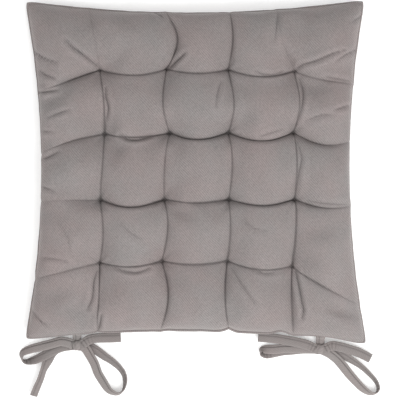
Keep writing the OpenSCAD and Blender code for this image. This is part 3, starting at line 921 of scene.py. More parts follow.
def blow_up(sizes, place, top, under):
    """Cloth simulation of the closed cover under the filling's pressure."""
    n = sizes.steps
    size = len(top)
    last = size - 1
    verts, faces, top_index, under_index = empty_bag(place, top, under)
    bag = new_object("pad_before_filling", verts, faces,
                     bpy.data.materials.new("unfinished"))
    held = bag.vertex_groups.new(name="held")
    tufts = [top_index[a, b] for a in range(n, last, n) for b in range(n, last, n)]
    rim = [k for (a, b), k in under_index.items() if a in (0, last) or b in (0, last)]
    floor = [k for (a, b), k in under_index.items() if k not in set(rim)]
    held.add(tufts + floor, 1.0, "REPLACE")
    held.add(rim, 0.9, "REPLACE")
    set_cloth(bag.modifiers.new("Filling", "CLOTH"), sizes.pressure)
    for step in range(1, BLOW_FRAMES + 1):
        bpy.context.scene.frame_set(step)
    graph = bpy.context.evaluated_depsgraph_get()
    filled = np.zeros(3 * len(verts))
    bag.evaluated_get(graph).data.vertices.foreach_get("co", filled)
    filled = filled.reshape(-1, 3) / MM
    start = np.array(verts) / MM
    move = filled - start
    far = np.linalg.norm(move, axis=1, keepdims=True)
    filled = start + move * np.minimum(1, MOST_MOVE / np.maximum(far, 1e-9))
    bpy.context.scene.frame_set(1)
    bpy.data.meshes.remove(bag.data)
    upper = np.zeros((size, size, 3))
    lower = np.zeros((size, size, 3))
    for (a, b), k in top_index.items():
        upper[a, b] = filled[k]
        lower[a, b] = filled[under_index[a, b]]
    return calmed(upper, n), lower


def calmed(grid, steps):
    """The grid with small buckles smoothed out, its quilting lines and its edge kept."""
    lines = np.arange(len(grid)) % steps == 0
    for _ in range(3):
        along = grid.copy()
        along[1:-1] = (grid[:-2] + 2 * grid[1:-1] + grid[2:]) / 4
        along[lines] = grid[lines]
        both = along.copy()
        both[:, 1:-1] = (along[:, :-2] + 2 * along[:, 1:-1] + along[:, 2:]) / 4
        both[:, lines] = along[:, lines]
        grid = both
    return grid


def sheet_normals(points):
    """Upward normals of a grid of points."""
    across = np.gradient(points, axis=0)
    along = np.gradient(points, axis=1)
    normal = np.cross(across, along)
    return normal / np.maximum(np.linalg.norm(normal, axis=2, keepdims=True), 1e-9)


def from_line(points, line):
    """Distance of each point from a smooth line in the pad's plane, and the share along it."""
    route = smooth_route([np.array(p, float) for p in line], 6)
    best = np.full(points.shape[:2], 1e9)
    share = np.zeros(points.shape[:2])
    for k in range(len(route) - 1):
        start, step = route[k], route[k + 1] - route[k]
        t = np.clip(((points[..., :2] - start) @ step) / (step @ step), 0, 1)
        gap = np.linalg.norm(points[..., :2] - start - t[..., None] * step, axis=2)
        nearer = gap < best
        best = np.where(nearer, gap, best)
        share = np.where(nearer, (k + t) / (len(route) - 1), share)
    return best, share


def noise_field(points, scale, seed):
    """Smooth noise from -1 to 1 at each point."""
    flat = points.reshape(-1, 3)
    values = [noise.noise(Vector((x / scale + seed, y / scale - seed, seed * 1.7)))
              for x, y, _ in flat]
    return np.array(values).reshape(points.shape[:2])


def quilt_gaps(places):
    """For each point of the finished grid, its distance in mm from each quilting line."""
    return [np.abs(places - k) * PILLOW_SIDE for k in range(PILLOWS + 1)]


def quilt_creases(places, at, up, depth):
    """Sharp creases along the quilting: how deep they sink, how much shade is painted into them
    and the swell of the cloth beside them."""
    sink, line, swell = (np.zeros(at.shape) for _ in range(3))
    gaps = quilt_gaps(places)
    fade_sides = np.clip(np.minimum(at, PILLOWS - at) / 0.6 - 0.1, 0, 1) ** 0.8
    fade_ends = np.clip(np.minimum(up, PILLOWS - up) / 0.35, 0, 1) ** 0.6
    runs = []
    for j in range(1, PILLOWS):
        for i in range(PILLOWS):
            strength = CROSS_DEPTH[j - 1][i] * ((at >= i) & (at <= i + 1)) * fade_sides
            runs.append((gaps[j][None, :] + 0 * at, strength, 0.85, 0.15, 0.25))
    for i in range(1, PILLOWS):
        for j in range(PILLOWS):
            strength = LENGTH_DEPTH[j][i - 1] * ((up >= j) & (up <= j + 1)) * fade_ends
            runs.append((gaps[i][:, None] + 0 * at, strength, 0.8, 0.1, 0.2))
    for gap, strength, sharp, broad, beside in runs:
        cut = sharp * np.exp(-gap / 0.7) + broad * np.exp(-(gap / 2.2) ** 2)
        sink = np.maximum(sink, strength * depth * cut)
        # Painted shade: a dark line along each crease.
        line = np.maximum(line, strength * np.exp(-(gap / 0.8) ** 2))
        swell += strength * beside * np.exp(-((gap - 7.5) / 3.5) ** 2)
    return sink, line, swell


def single_folds(points, sink, line, swell):
    """Adds the single folds of the cloth to what the quilting has done."""
    for fold_depth, width, route in FOLDS:
        gap, share = from_line(points, route)
        fade = np.sin(np.pi * np.clip(0.12 + 0.76 * share, 0, 1)) ** 0.7
        cut = 0.65 * np.exp(-gap / 1.1) + 0.35 * np.exp(-(gap / width) ** 2)
        groove = 1.25 * fold_depth * fade * cut
        sink = np.maximum(sink, groove) + 0.25 * np.minimum(sink, groove)
        # Painted shade along each fold's line.
        line = np.maximum(line, 0.5 * fold_depth * fade * np.exp(-(gap / 0.9) ** 2))
        beside = np.exp(-((gap - 1.7 * width) / (1.1 * width)) ** 2)
        swell = swell + 0.55 * fold_depth * fade * beside
    return sink, line, swell


def tuft_puckers(points):
    """The pit at each tuft, and the short folds that spread from it."""
    pits, rays = np.zeros(points.shape[:2]), np.zeros(points.shape[:2])
    for k, place in enumerate(tuft_grid().reshape(-1, 2)):
        away = points[..., :2] - place
        gap = np.linalg.norm(away, axis=2)
        turn = np.arctan2(away[..., 1], away[..., 0])
        pits = np.maximum(pits, PIT_DEPTH * np.exp(-(gap / 2.2) ** 2))
        fan = np.cos(5 * turn + 1.9 * k) + 0.6 * np.cos(8 * turn + 0.7 * k)
        rays += 0.3 * fan * np.exp(-((gap - 9) / 6.5) ** 2)
    return pits, rays


def crease_top(sizes, upper):
    """Adds what the filled cloth shows: sharp creases, folds, puckers and soft lumps."""
    places = pillow_places(sizes.detail)
    points = resample(resample(upper, places, sizes.steps, 0), places, sizes.steps, 1)
    at = places[:, None] + 0 * places[None, :]
    up = places[None, :] + 0 * places[:, None]
    creased = quilt_creases(places, at, up, sizes.crease / MM)
    sink, line, swell = single_folds(points, *creased)
    pits, rays = tuft_puckers(points)
    swell = swell + rays
    edge = np.minimum.reduce([at, up, PILLOWS - at, PILLOWS - up]) * OUTER_PILLOW
    gathers = noise_field(points, 13, 3.1) * np.exp(-(edge / 16) ** 2) * np.minimum(1, edge / 6)
    lumps = 0.6 * noise_field(points, 36, 7.3) + 0.1 * noise_field(points, 15, 11.9)
    calm = np.minimum(1, edge / 8)
    lift = swell * calm + lumps * calm + 0.45 * gathers - sink * np.minimum(1, edge / 5) - pits
    shaped = points + sheet_normals(points) * lift[..., None]
    # Painted shade in the creases, the folds and the tuft pits.
    crease = np.clip(line + pits / 6, 0, 1)
    # Painted highlight on the swelling ridges and along the rim, mixed with random paler patches
    # of wear, and left out where shade is painted.
    wear_and_painted_highlight = np.clip(0.45 + 0.5 * noise_field(points, 21, 5.5) + 0.5 * swell, 0, 1)
    wear_and_painted_highlight = np.maximum(wear_and_painted_highlight, 0.95 * np.exp(-(edge / 17) ** 2)) * (1 - crease)
    return shaped, crease, wear_and_painted_highlight


def sheet_object(name, points, material, flip, crease, wear_and_painted_highlight):
    """A cover made of a grid of points, given its cloth's thickness inwards."""
    columns, rows = points.shape[:2]
    verts = points.transpose(1, 0, 2).reshape(-1, 3) * MM
    obj = new_object(name, verts, grid_faces(columns, rows, flip), material)
    # Painted shade and painted highlight, for the material to read.
    point_values(obj, "crease", crease.T)
    point_values(obj, "wear_and_painted_highlight", wear_and_painted_highlight.T)
    wall = obj.modifiers.new("Cloth", "SOLIDIFY")
    wall.thickness = CLOTH_THICKNESS * MM
    wall.offset = -1
    apply_modifiers(obj)
    return obj


def filled_pad():
    """The simulated pad's upper and lower grids, made once."""
    sizes = bpy.context.scene.seat_pad
    if "upper" not in PAD:
        place, top, under = quilt_start(sizes)
        upper, lower = blow_up(sizes, place, top, under)
        PAD["upper"], PAD["lower"] = upper, lower
    return PAD["upper"], PAD["lower"]


# ---------------------------------------------------------------- tapes


def softened(value, power):
    """A sine or cosine squared off or sharpened, with its sign kept."""
    return math.copysign(abs(value) ** power, value)


def pivot(side):
    """The line that a bow swings about, on the floor below it, in metres."""
    joint = next(j for j in frame["joints"] if j["name"] == f"{side}_tie_swing")
    where = joint["pos_m"]
    return np.array([where[0], where[1], 0.0])


def tape_section(half_width, half_thick, stitched):
    """Outline of a folded tape: puffed, thin on the stitched line, soft at its edges."""
    edge = math.copysign(1, stitched)
    upper = [(share * edge, 1) for share in TAPE_SHARES]
    lower = [(-share * edge, -1) for share in TAPE_SHARES]
    out = []
    for share, face in upper + lower:
        puff = (1 - abs(share) ** 3.2) ** 0.5
        groove = 1 - 0.6 * math.exp(-((share - stitched) / 0.09) ** 2)
        out.append((share * half_width, face * puff * half_thick * groove, share))
    return out


def tape_frames(route):
    """Along, across and up vectors of the tape at each point of its route."""
    place = route[:, :3]
    along = np.gradient(place, axis=0)
    along /= np.linalg.norm(along, axis=1, keepdims=True)
    flat = np.stack([along[:, 1], -along[:, 0], np.zeros(len(along))], axis=1)
    flat /= np.maximum(np.linalg.norm(flat, axis=1, keepdims=True), 1e-9)
    rise = np.cross(flat, along)
    roll = np.radians(route[:, 3])[:, None]
    across = np.cos(roll) * flat + np.sin(roll) * rise
    up = np.cos(roll) * rise - np.sin(roll) * flat
    return place, along, across, up


def sweep_tape(name, route, stitched, material, seed, pinch=None):
    """A tape swept along its route, with small puckers where it turns."""
    sizes = bpy.context.scene.seat_pad_tape
    place, along, across, up = tape_frames(route)
    section = tape_section(sizes.width / 2, sizes.thickness / 2, stitched)
    length = np.concatenate([[0], np.cumsum(np.linalg.norm(np.diff(place, axis=0), axis=1))])
    turn = np.linalg.norm(np.gradient(along, axis=0), axis=1)
    turn /= np.maximum(np.gradient(length), 1e-6)
    verts, crease, wear_and_painted_highlight = [], [], []
    for k in range(len(place)):
        run = length[k] / MM
        wide = 1 + 0.03 * noise.noise(Vector((run / 13, seed, 0)))
        if pinch is not None:
            wide *= pinch(length[k], length[-1])
        near = np.exp(-((length - length[k]) / 0.009) ** 2)
        bend = float((turn * near).sum() / near.sum())
        pucker = min(1.0, max(0.0, bend - PUCKER_FROM) / (PUCKER_FULL - PUCKER_FROM))
        fold = math.sin(run * 1.55 + 2 * noise.noise(Vector((run / 9, seed, 4))))
        for s, t, share in section:
            ripple = noise.noise(Vector((run / 4, share * 1.2, seed))) * 0.00016
            inner_fold = pucker * (t < 0) * max(0.0, fold) ** 2 * (1 - 0.6 * share * share)
            ripple += inner_fold * 0.0006
            edge = noise.noise(Vector((run / 7, seed + 9, share))) * 0.00012
            point = place[k] + across[k] * (s * wide + edge) + up[k] * (t + ripple)
            verts.append(point)
            # Painted shade in the stitched groove, in the puckers and on the tape's lower face.
            # Painted highlight along its edges.
            groove = math.exp(-((share - stitched) / 0.10) ** 2)
            inside = 0.22 * (t < 0)
            crease.append(min(1, 0.8 * groove + 0.7 * inner_fold + inside))
            wear_and_painted_highlight.append(max(0, abs(share) - 0.8) * 4)
    obj = new_object(name, verts, ring_faces(len(place), len(section), False), material)
    point_values(obj, "crease", crease)
    point_values(obj, "wear_and_painted_highlight", np.clip(wear_and_painted_highlight, 0, 1))
    lay_weave(obj, girth_of(section), length)
    return obj


def girth_of(section):
    """Length round a section up to each of its points, and back to the first."""
    girth = [0.0]
    for a, b in zip(section, section[1:] + section[:1]):
        girth.append(girth[-1] + math.hypot(a[0] - b[0], a[1] - b[1]))
    return girth


def lay_weave(obj, across, along):
    """UV map in metres, so that the twill keeps its size: across holds the place of each point
    of a ring and of its first point again, along that of each ring, the first again if closed."""
    count = len(across) - 1
    last = len(obj.data.vertices) // count - 1
    layer = obj.data.uv_layers.new(name="UVMap")
    for face in obj.data.polygons:
        spots = [divmod(obj.data.loops[k].vertex_index, count) for k in face.loop_indices]
        rows, rings = zip(*spots)
        turns = 0 in rings and count - 1 in rings
        wraps = 0 in rows and last in rows
        for loop, (row, m) in zip(face.loop_indices, spots):
            u = across[count if turns and m == 0 else m]
            layer.data[loop].uv = (u, along[last + 1 if wraps and row == 0 else row])


def half_tie_route(side, loop, tail):
    """The whole run of one half of a tie, in metres, with its roll in degrees."""
    points = [np.array(p, float) for p in ROUTES[loop]]
    end_roll = points[-1][3]
    rest = [np.array(p, float) + np.array([0, 0, 0, end_roll]) for p in ROUTES[tail]]
    middle = (points[-1] + rest[0]) / 2
    middle[3] = end_roll
    route = smooth_route(points + [middle] + rest, 10)
    route[:, :3] = route[:, :3] * MM + pivot(side)
    return route


# ---------------------------------------------------------------- stitches


def combined(tree, x, y, z, spot):
    """A vector of sockets, with None for 0."""
    vector = node(tree, "ShaderNodeCombineXYZ", spot)
    for k, value in enumerate((x, y, z)):
        if value is not None:
            tree.links.new(value, vector.inputs[k])
    return vector.outputs[0]


def thread_arch(tree, start):
    """Nodes that sweep a round thread along the arch of one stitch."""
    link = tree.links.new
    half = math_node(tree, (-700, 250), "MULTIPLY", start.outputs["Stitch Length"], 0.5)
    back = math_node(tree, (-700, 100), "MULTIPLY", start.outputs["Stitch Length"], -0.5)
    low = math_node(tree, (-700, -50), "MULTIPLY", start.outputs["Arch Height"], -0.6)
    high = math_node(tree, (-700, -200), "MULTIPLY", start.outputs["Arch Height"], 2.0)
    arch = node(tree, "GeometryNodeCurveQuadraticBezier", (-300, 200))
    arch.inputs["Resolution"].default_value = 4
    link(combined(tree, back, None, low, (-500, 300)), arch.inputs["Start"])
    link(combined(tree, None, None, high, (-500, 150)), arch.inputs["Middle"])
    link(combined(tree, half, None, low, (-500, 0)), arch.inputs["End"])
    ring = node(tree, "GeometryNodeCurvePrimitiveCircle", (-300, -100))
    ring.inputs["Resolution"].default_value = 6
    radius = math_node(tree, (-500, -250), "MULTIPLY", start.outputs["Thread Thickness"], 0.5)
    link(radius, ring.inputs["Radius"])
    thread = node(tree, "GeometryNodeCurveToMesh", (-100, 100))
    thread.inputs["Fill Caps"].default_value = True
    link(arch.outputs["Curve"], thread.inputs["Curve"])
    link(ring.outputs["Curve"], thread.inputs["Profile Curve"])
    return thread


def stitch_tree():
    """Geometry nodes that lay one arched stitch of thread on every point."""
    if "Thread Stitches" in bpy.data.node_groups:
        return bpy.data.node_groups["Thread Stitches"]
    tree = bpy.data.node_groups.new("Thread Stitches", "GeometryNodeTree")
    add = tree.interface.new_socket
    add("Geometry", in_out="INPUT", socket_type="NodeSocketGeometry")
    for label, default in (("Stitch Length", 0.002), ("Thread Thickness", 0.0004),
                           ("Arch Height", 0.0004)):
        socket = add(label, in_out="INPUT", socket_type="NodeSocketFloat")
        socket.default_value = default
    add("Thread", in_out="INPUT", socket_type="NodeSocketMaterial")
    add("Geometry", in_out="OUTPUT", socket_type="NodeSocketGeometry")
    link = tree.links.new
    start = node(tree, "NodeGroupInput", (-900, 0))
    end = node(tree, "NodeGroupOutput", (900, 0))
    thread = thread_arch(tree, start)
    along = node(tree, "GeometryNodeInputNamedAttribute", (-300, -300),
                 data_type="FLOAT_VECTOR")
    along.inputs["Name"].default_value = "along"
    lift = node(tree, "GeometryNodeInputNamedAttribute", (-300, -450),
                data_type="FLOAT_VECTOR")
    lift.inputs["Name"].default_value = "lift"
    face = node(tree, "FunctionNodeAlignRotationToVector", (-100, -300), axis="X")
    link(along.outputs["Attribute"], face.inputs["Vector"])
    stand = node(tree, "FunctionNodeAlignRotationToVector", (100, -300), axis="Z",
                 pivot_axis="X")
    link(face.outputs["Rotation"], stand.inputs["Rotation"])
    link(lift.outputs["Attribute"], stand.inputs["Vector"])
    spots = node(tree, "GeometryNodeMeshToPoints", (-100, 300))
    link(start.outputs["Geometry"], spots.inputs["Mesh"])
    sewn = node(tree, "GeometryNodeInstanceOnPoints", (300, 100))
    link(spots.outputs["Points"], sewn.inputs["Points"])
    link(thread.outputs["Mesh"], sewn.inputs["Instance"])
    link(stand.outputs["Rotation"], sewn.inputs["Rotation"])
    real = node(tree, "GeometryNodeRealizeInstances", (500, 100))
    link(sewn.outputs["Instances"], real.inputs["Geometry"])
    paint = node(tree, "GeometryNodeSetMaterial", (700, 100))
    link(real.outputs["Geometry"], paint.inputs["Geometry"])
    link(start.outputs["Thread"], paint.inputs["Material"])
    link(paint.outputs["Geometry"], end.inputs["Geometry"])
    return tree


def sew(name, places, alongs, lifts, length, thickness, arch):
    """One mesh of stitches, laid by the stitch tree."""
    thread = thread_material()
    obj = new_object(name, places, [], thread)
    for label, values in (("along", alongs), ("lift", lifts)):
        layer = obj.data.attributes.new(label, "FLOAT_VECTOR", "POINT")
        layer.data.foreach_set("vector", np.asarray(values, np.float32).ravel())
    tree = stitch_tree()
    sewn = obj.modifiers.new("Stitches", "NODES")
    sewn.node_group = tree
    values = {"Stitch Length": length, "Thread Thickness": thickness,
              "Arch Height": arch, "Thread": thread}
    for item in tree.interface.items_tree:
        if item.in_out == "INPUT" and item.name in values:
            sewn[item.identifier] = values[item.name]
    apply_modifiers(obj)
    obj.data.polygons.foreach_set("use_smooth", [True] * len(obj.data.polygons))
    return obj


def stitch_run(route, stitched):
    """Places, directions and lifts of the stitches on both faces of a tape."""
    sizes = bpy.context.scene.seat_pad_tape
    place, along, across, up = tape_frames(route)
    length = np.concatenate([[0], np.cumsum(np.linalg.norm(np.diff(place, axis=0), axis=1))])
    spots, directions, lifts = [], [], []
    count = int((length[-1] - 0.004) / sizes.stitch_gap)
    for k in range(count):
        run = 0.002 + (k + 0.5) * sizes.stitch_gap
        at = [np.array([np.interp(run, length, v[:, c]) for c in range(3)])
              for v in (place, along, across, up)]
        for face in (1, -1):
            height = sizes.thickness * 0.5 * 0.58
            spots.append(at[0] + at[2] * stitched * sizes.width / 2 + at[3] * face * height)
            directions.append(at[1])
            lifts.append(at[3] * face)
    return spots, directions, lifts


# ---------------------------------------------------------------- operators


class SEATPAD_OT_stage(bpy.types.Operator):
    """Makes the camera, the lights and the floor"""

    bl_idname = "seat_pad.stage"
    bl_label = "Set the Stage"

    def execute(self, context):
        look = context.scene.seat_pad_studio
        scene = context.scene
        scene.view_settings.view_transform = "Standard"
        lens = bpy.data.cameras.new("camera")
        camera = bpy.data.objects.new("camera", lens)
        scene.collection.objects.link(camera)
        camera.location = (*VIEW_MIDDLE, look.camera)
        lens.sensor_width = 36
        lens.lens = lens.sensor_width * (look.camera - VIEW_HEIGHT) / VIEW_WIDTH
        lens.clip_end = 50
        scene.camera = camera
        corners = [(x * FLOOR_REACH, y * FLOOR_REACH, 0)
                   for x, y in ((-1, -1), (1, -1), (1, 1), (-1, 1))]
        floor = new_object("floor", corners, [(0, 1, 2, 3)], self.floor_material(look),
                           smooth=False)
        for name, place, size, share in LAMPS:
            self.lamp(name, place, size, look.key * share)
        world = bpy.data.worlds.new("studio")
        world.use_nodes = True
        sky = world.node_tree.nodes["Background"]
        sky.inputs["Color"].default_value = (1.0, 1.0, 1.0, 1)
        sky.inputs["Strength"].default_value = look.sky
        scene.world = world
        return {"FINISHED"}

    def lamp(self, name, place, size, power):
        """A square soft box that faces the middle of the pad."""
        data = bpy.data.lights.new(name, "AREA")
        data.size = size
        data.energy = power
        lamp = bpy.data.objects.new(name, data)
        lamp.location = place
        lamp.rotation_euler = (-Vector(place)).to_track_quat("-Z", "Y").to_euler()
        bpy.context.scene.collection.objects.link(lamp)

    def floor_material(self, look):
        """Matte pale paper that is lit a little from behind."""
        material = bpy.data.materials.new("pale_floor")
        material.use_nodes = True
        tree = material.node_tree
        paper = tree.nodes["Principled BSDF"]
        coords = node(tree, "ShaderNodeTexCoord", (-900, 0))
        grain = node(tree, "ShaderNodeTexNoise", (-700, 0), Scale=180.0, Detail=3.0)
        shade = node(tree, "ShaderNodeMix", (-450, 0), data_type="RGBA")
        shade.inputs["A"].default_value = (*(0.985 * c for c in look.floor), 1)
        shade.inputs["B"].default_value = (*look.floor, 1)
        tree.links.new(coords.outputs["Object"], grain.inputs["Vector"])
        tree.links.new(grain.outputs["Fac"], shade.inputs["Factor"])
        tree.links.new(shade.outputs["Result"], paper.inputs["Base Color"])
        paper.inputs["Roughness"].default_value = 0.9
        paper.inputs["Specular IOR Level"].default_value = 0.1
        paper.inputs["Emission Color"].default_value = (1, 1, 1, 1)
        paper.inputs["Emission Strength"].default_value = 0.28
        return material


class SEATPAD_OT_ties(bpy.types.Operator):
    """Makes the two halves of each tie: a loop and a tail in one run of tape"""

    bl_idname = "seat_pad.ties"
    bl_label = "Make the Ties"

    def execute(self, context):
        look = context.scene.seat_pad_cloth
        sizes = context.scene.seat_pad_tape
        material = cloth_material("tape_twill", look.tape, "UV", contrast=0.13,
                                  mottle=0.6, bump=0.3, angle=-0.7)
        for seed, (name, (side, loop, tail, edge)) in enumerate(HALVES.items()):
            route = half_tie_route(side, loop, tail)
            stitched = STITCH_LINE * edge
            tape = sweep_tape(name, route, stitched, material, 3.7 + seed)
            outward(tape)
            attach(tape, f"{side}_tie")
            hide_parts(*[run_name.replace("_", "_tie_", 1) for run_name in (loop, tail)])
            stitches = sew(f"{name}_stitches", *stitch_run(route, stitched),
                           sizes.stitch_length, sizes.thread, sizes.thread * 0.6)
            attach(stitches, f"{side}_tie")
        return {"FINISHED"}


class SEATPAD_OT_knots(bpy.types.Operator):
    """Makes the wrap of each knot and the neck of tape that joins it to the pad"""

    bl_idname = "seat_pad.knots"
    bl_label = "Make the Knots"

    def execute(self, context):
        look = context.scene.seat_pad_cloth
        material = cloth_material("knot_twill", look.tape, "UV", contrast=0.13,
                                  mottle=0.6, bump=0.3, angle=0.6)
        for side in SIDES:
            knot = self.wrap(side, material)
            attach(knot, f"{side}_tie")
            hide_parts(f"{side}_tie_knot")
            route = smooth_route([np.array(p, float) for p in ROUTES["neck"]], 6)
            route[:, :3] = route[:, :3] * MM + pivot(side)
            neck = sweep_tape(f"{side}_tie_neck", route, 0.3, material, 21.3,
                              pinch=lambda run, whole: 1 - 0.1 * run / whole)
            outward(neck)
            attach(neck, "pad")
            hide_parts(f"{side}_tie_anchor")
        return {"FINISHED"}

    def wrap(self, side, material):
        """A turn of tape drawn tight round the bow, its edges rolled under."""
        centre = pivot(side) + np.array(KNOT_MIDDLE) * MM
        lean = math.radians(KNOT_LEAN[side])
        flare = 0.6 if side == "left" else -0.6
        around, profile = 56, 20
        verts, crease, wear_and_painted_highlight = [], [], []
        for k in range(around):
            turn = 2 * math.pi * k / around
            for m in range(profile):
                spot = 2 * math.pi * m / profile
                x = softened(math.cos(spot), 0.6)
                thick = softened(math.sin(spot), 0.8)
                gather = noise.noise(Vector((x * 1.6, math.cos(turn) * 1.1, math.sin(turn) * 1.1)))
                pleat = math.cos(x * 9.0 + 1.5 * math.sin(turn))
                out = 0.16 * pleat * (thick > 0)
                tight = 1 - 0.13 * x * x
                radius_y = KNOT_RADIUS_Y * tight + 1.15 * thick + 0.35 * gather + out
                radius_z = KNOT_RADIUS_Z * tight + 1.05 * thick + 0.3 * gather + out
                y = softened(math.cos(turn), 0.8) * radius_y
                z = softened(math.sin(turn), 0.8) * radius_z
                wide = x * (KNOT_HALF_WIDTH + flare * math.cos(turn)) + 0.35 * gather
                point = np.array([wide * math.cos(lean) - y * math.sin(lean),
                                  wide * math.sin(lean) + y * math.cos(lean), z])
                verts.append(centre + point * MM)
                # Painted shade in the pleats and on the inner face. Painted highlight along the
                # edges.
                crease.append(0.5 * max(0, -pleat) * (thick > 0) + 0.25 * (thick < 0))
                wear_and_painted_highlight.append(max(0, abs(x) - 0.75) * 3)
        obj = new_object(f"{side}_tie_knot_wrap", verts, ring_faces(around, profile, True),
                         material)
        point_values(obj, "crease", np.clip(crease, 0, 1))
        point_values(obj, "wear_and_painted_highlight", np.clip(wear_and_painted_highlight, 0, 1))
        lay_weave(obj, [0.024 * m / profile for m in range(profile + 1)],
                  [0.030 * k / around for k in range(around + 1)])
        outward(obj)
        return obj


class SEATPAD_OT_covers(bpy.types.Operator):
    """Blows up the quilted covers with a cloth simulation, then folds and creases them"""

    bl_idname = "seat_pad.covers"
    bl_label = "Make the Covers"

    def execute(self, context):
        sizes = context.scene.seat_pad
        look = context.scene.seat_pad_cloth
        material = cloth_material("cover_twill", look.cover, "Object", contrast=0.36,
                                  mottle=0.8, bump=0.5)
        upper, lower = filled_pad()
        shaped, crease, wear_and_painted_highlight = crease_top(sizes, upper)
        PAD["shaped"] = shaped
        top = sheet_object("quilted_top_cover", shaped, material, False, crease, wear_and_painted_highlight)
        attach(top, "pad")
        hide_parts("top_cover")
        # The underside's painted shade in its grooves and painted highlight beside them.
        base, dark, pale = self.underside(sizes, lower)
        bottom = sheet_object("plain_bottom_cover", base, material, True, dark, pale)
        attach(bottom, "pad")
        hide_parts("bottom_cover")
        filling = self.filling(sizes, upper, lower)
        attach(filling, "pad")
        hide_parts("fibre_fill")
        return {"FINISHED"}

    def underside(self, sizes, lower):
        """The underside's shallow folds between its tufts, with painted shade in the folds and
        painted highlight beside them.
        """
        places = pillow_places(24)
        points = resample(resample(lower, places, sizes.steps, 0), places, sizes.steps, 1)
        at = places[:, None] + 0 * places[None, :]
        up = places[None, :] + 0 * places[:, None]
        near = np.full(at.shape, 1e9)
        for gap in quilt_gaps(places)[1:PILLOWS]:
            near = np.minimum(near, np.minimum(gap[:, None], gap[None, :]))
        inside = np.minimum.reduce([at, up, PILLOWS - at, PILLOWS - up])
        inside = np.clip((inside - 0.55) / 0.3, 0, 1)
        groove = 1.3 * np.exp(-(near / 3.0) ** 2) * inside
        ripple = np.clip(0.5 * noise_field(points, 16, 2.2), 0, 1) * inside
        points[..., 2] = np.maximum(points[..., 2], 0.05) + groove + ripple
        # Painted shade in the grooves, and painted highlight where there is no groove.
        return points, np.clip(groove / 1.6, 0, 1), np.clip(0.4 - groove, 0, 1)

    def filling(self, sizes, upper, lower):
        """One closed body of fibre that keeps clear of both covers."""
        step = 3
        top = upper[::step, ::step].copy()
        base = lower[::step, ::step].copy()
        size = len(top)
        line = np.arange(size) * step / sizes.steps
        edge = np.minimum(line, PILLOWS - line)
        edge = np.minimum(edge[:, None], edge[None, :])
        shrink = 1 - 0.03 * np.clip(1 - edge / 0.5, 0, 1)[..., None]
        dimple = np.zeros((size, size))
        for x, y in tuft_grid().reshape(-1, 2):
            gap = np.hypot(top[..., 0] - x, top[..., 1] - y)
            dimple = np.maximum(dimple, np.exp(-(gap / 14) ** 2))
        top[..., :2] *= shrink
        base[..., :2] *= shrink
        base[..., 2] += FILLING_ABOVE_BASE
        sunk = top[..., 2] - FILLING_BELOW_TOP - FILLING_UNDER_TUFT * dimple
        top[..., 2] = np.maximum(sunk, base[..., 2] + 0.5)
        verts = [p for sheet in (top, base) for p in sheet.transpose(1, 0, 2).reshape(-1, 3) * MM]
        faces = grid_faces(size, size) + grid_faces(size, size, True, size * size)
        walk = ([(k, 0) for k in range(size - 1)] + [(size - 1, k) for k in range(size - 1)]
                + [(size - 1 - k, size - 1) for k in range(size - 1)]
                + [(0, size - 1 - k) for k in range(size - 1)])
        for (a, b), (c, d) in zip(walk, walk[1:] + walk[:1]):
            p, q = a + b * size, c + d * size
            faces.append((p, p + size * size, q + size * size, q))
        obj = new_object("fibre_filling", verts, faces, filling_material())
        outward(obj)
        return obj


class SEATPAD_OT_seam(bpy.types.Operator):
    """Makes the rolled seam that joins the covers all round"""

    bl_idname = "seat_pad.seam"
    bl_label = "Make the Edge Seam"

    def execute(self, context):
        look = context.scene.seat_pad_cloth
        rim = PAD["shaped"]
        last = len(rim) - 1
        walk = np.array([rim[k, 0] for k in range(last)] + [rim[last, k] for k in range(last)]
                        + [rim[last - k, last] for k in range(last)]
                        + [rim[0, last - k] for k in range(last)])
        count = len(walk)
        sides = 14
        along = np.roll(walk, -2, axis=0) - np.roll(walk, 2, axis=0)
        along /= np.linalg.norm(along, axis=1, keepdims=True)
        out = np.stack([along[:, 1], -along[:, 0], np.zeros(count)], axis=1)
        verts, crease, wear_and_painted_highlight = [], [], []
        for k in range(count):
            pucker = noise.noise(Vector((walk[k, 0] / 7, walk[k, 1] / 7, 1.3)))
            fat = 1 + 0.07 * pucker
            sway = 0.2 * noise.noise(Vector((walk[k, 0] / 14, walk[k, 1] / 14, 8.1)))
            rear = max(0.0, -out[k, 1]) * max(0.0, 1 - (walk[k, 0] / 150) ** 4)
            shown = SEAM_SHOWS_AT_REAR * rear - SEAM_TUCK
            for m in range(sides):
                spot = 2 * math.pi * m / sides
                wide = math.cos(spot)
                high = math.sin(spot)
                stitched = math.exp(-(high / 0.22) ** 2) * (wide > 0)
                reach = wide * SEAM_HALF_WIDTH * (1 - 0.45 * stitched) + 0.35 * (high < 0)
                z = high * SEAM_HALF_HEIGHT * fat + sway
                verts.append((walk[k] + out[k] * (reach * fat + shown) + np.array([0, 0, z])) * MM)
                # Painted shade on the stitched line and the lower half of the roll. Painted
                # highlight on its upper half.
                crease.append(0.8 * stitched + 0.35 * (high < -0.3))
                wear_and_painted_highlight.append(max(0, high) * 0.8)
        material = cloth_material("seam_twill", look.cover, "Object", contrast=0.3,
                                  mottle=0.6, bump=0.5, angle=0.4)
        seam = new_object("rolled_edge_seam", verts, ring_faces(count, sides, True), material)
        point_values(seam, "crease", np.clip(crease, 0, 1))
        point_values(seam, "wear_and_painted_highlight", np.clip(wear_and_painted_highlight, 0, 1))
        outward(seam)
        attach(seam, "pad")
        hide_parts("edge_seam")
        return {"FINISHED"}


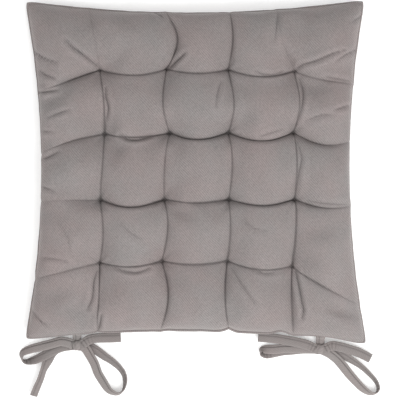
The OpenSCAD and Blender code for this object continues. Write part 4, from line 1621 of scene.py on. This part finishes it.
class SEATPAD_OT_tufts(bpy.types.Operator):
    """Sews the tufts: a crossed stitch sunk in each dimple, above and below"""

    bl_idname = "seat_pad.tufts"
    bl_label = "Sew the Tufts"

    def execute(self, context):
        flat = PAD["shaped"].reshape(-1, 3)
        places, alongs, lifts = [], [], []
        for k, (x, y) in enumerate(tuft_grid().reshape(-1, 2)):
            near = flat[np.argmin(np.hypot(flat[:, 0] - x, flat[:, 1] - y))]
            for height, face in ((near[2] - UPPER_STITCH_SUNK, 1), (LOWER_STITCH, -1)):
                for turn in (0.4 + 0.9 * k, 1.9 + 0.9 * k):
                    places.append(np.array([x, y, height]) * MM)
                    alongs.append((math.cos(turn), math.sin(turn), 0))
                    lifts.append((0, 0, face))
        length, thickness, arch = (size * MM for size in TUFT_STITCH)
        tufts = sew("tuft_stitches", places, alongs, lifts, length, thickness, arch)
        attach(tufts, "pad")
        names = [f"tuft_r{r + 1}_c{c + 1}" for r in range(ROWS) for c in range(ROWS)]
        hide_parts(*names)
        return {"FINISHED"}


class SEATPAD_PT_panel(bpy.types.Panel):
    """Sizes, colours and steps of the seat pad"""

    bl_idname = "SEATPAD_PT_panel"
    bl_label = "Seat Pad"
    bl_space_type = "VIEW_3D"
    bl_region_type = "UI"
    bl_category = "Seat Pad"

    def draw(self, context):
        scene = context.scene
        for group in (scene.seat_pad, scene.seat_pad_tape, scene.seat_pad_cloth,
                      scene.seat_pad_studio):
            box = self.layout.box()
            for name in group.__annotations__:
                box.prop(group, name)
        for operator in OPERATORS:
            self.layout.operator(operator.bl_idname)


GROUPS = (PadSizes, TapeSizes, ClothLook, StudioLook)
OPERATORS = (SEATPAD_OT_stage, SEATPAD_OT_ties, SEATPAD_OT_knots, SEATPAD_OT_covers,
             SEATPAD_OT_seam, SEATPAD_OT_tufts)
POINTERS = ("seat_pad", "seat_pad_tape", "seat_pad_cloth", "seat_pad_studio")


def register():
    """Registers the classes and gives the scene its settings."""
    for part in (*GROUPS, *OPERATORS, SEATPAD_PT_panel):
        bpy.utils.register_class(part)
    for name, group in zip(POINTERS, GROUPS):
        setattr(bpy.types.Scene, name, PointerProperty(type=group))


def unregister():
    """Takes away what register added."""
    for name in POINTERS:
        delattr(bpy.types.Scene, name)
    for part in reversed((*GROUPS, *OPERATORS, SEATPAD_PT_panel)):
        bpy.utils.unregister_class(part)


def main():
    register()
    bpy.ops.seat_pad.stage()
    bpy.ops.seat_pad.ties()
    bpy.ops.seat_pad.knots()
    bpy.ops.seat_pad.covers()
    bpy.ops.seat_pad.seam()
    bpy.ops.seat_pad.tufts()


if __name__ == "__main__":
    main()
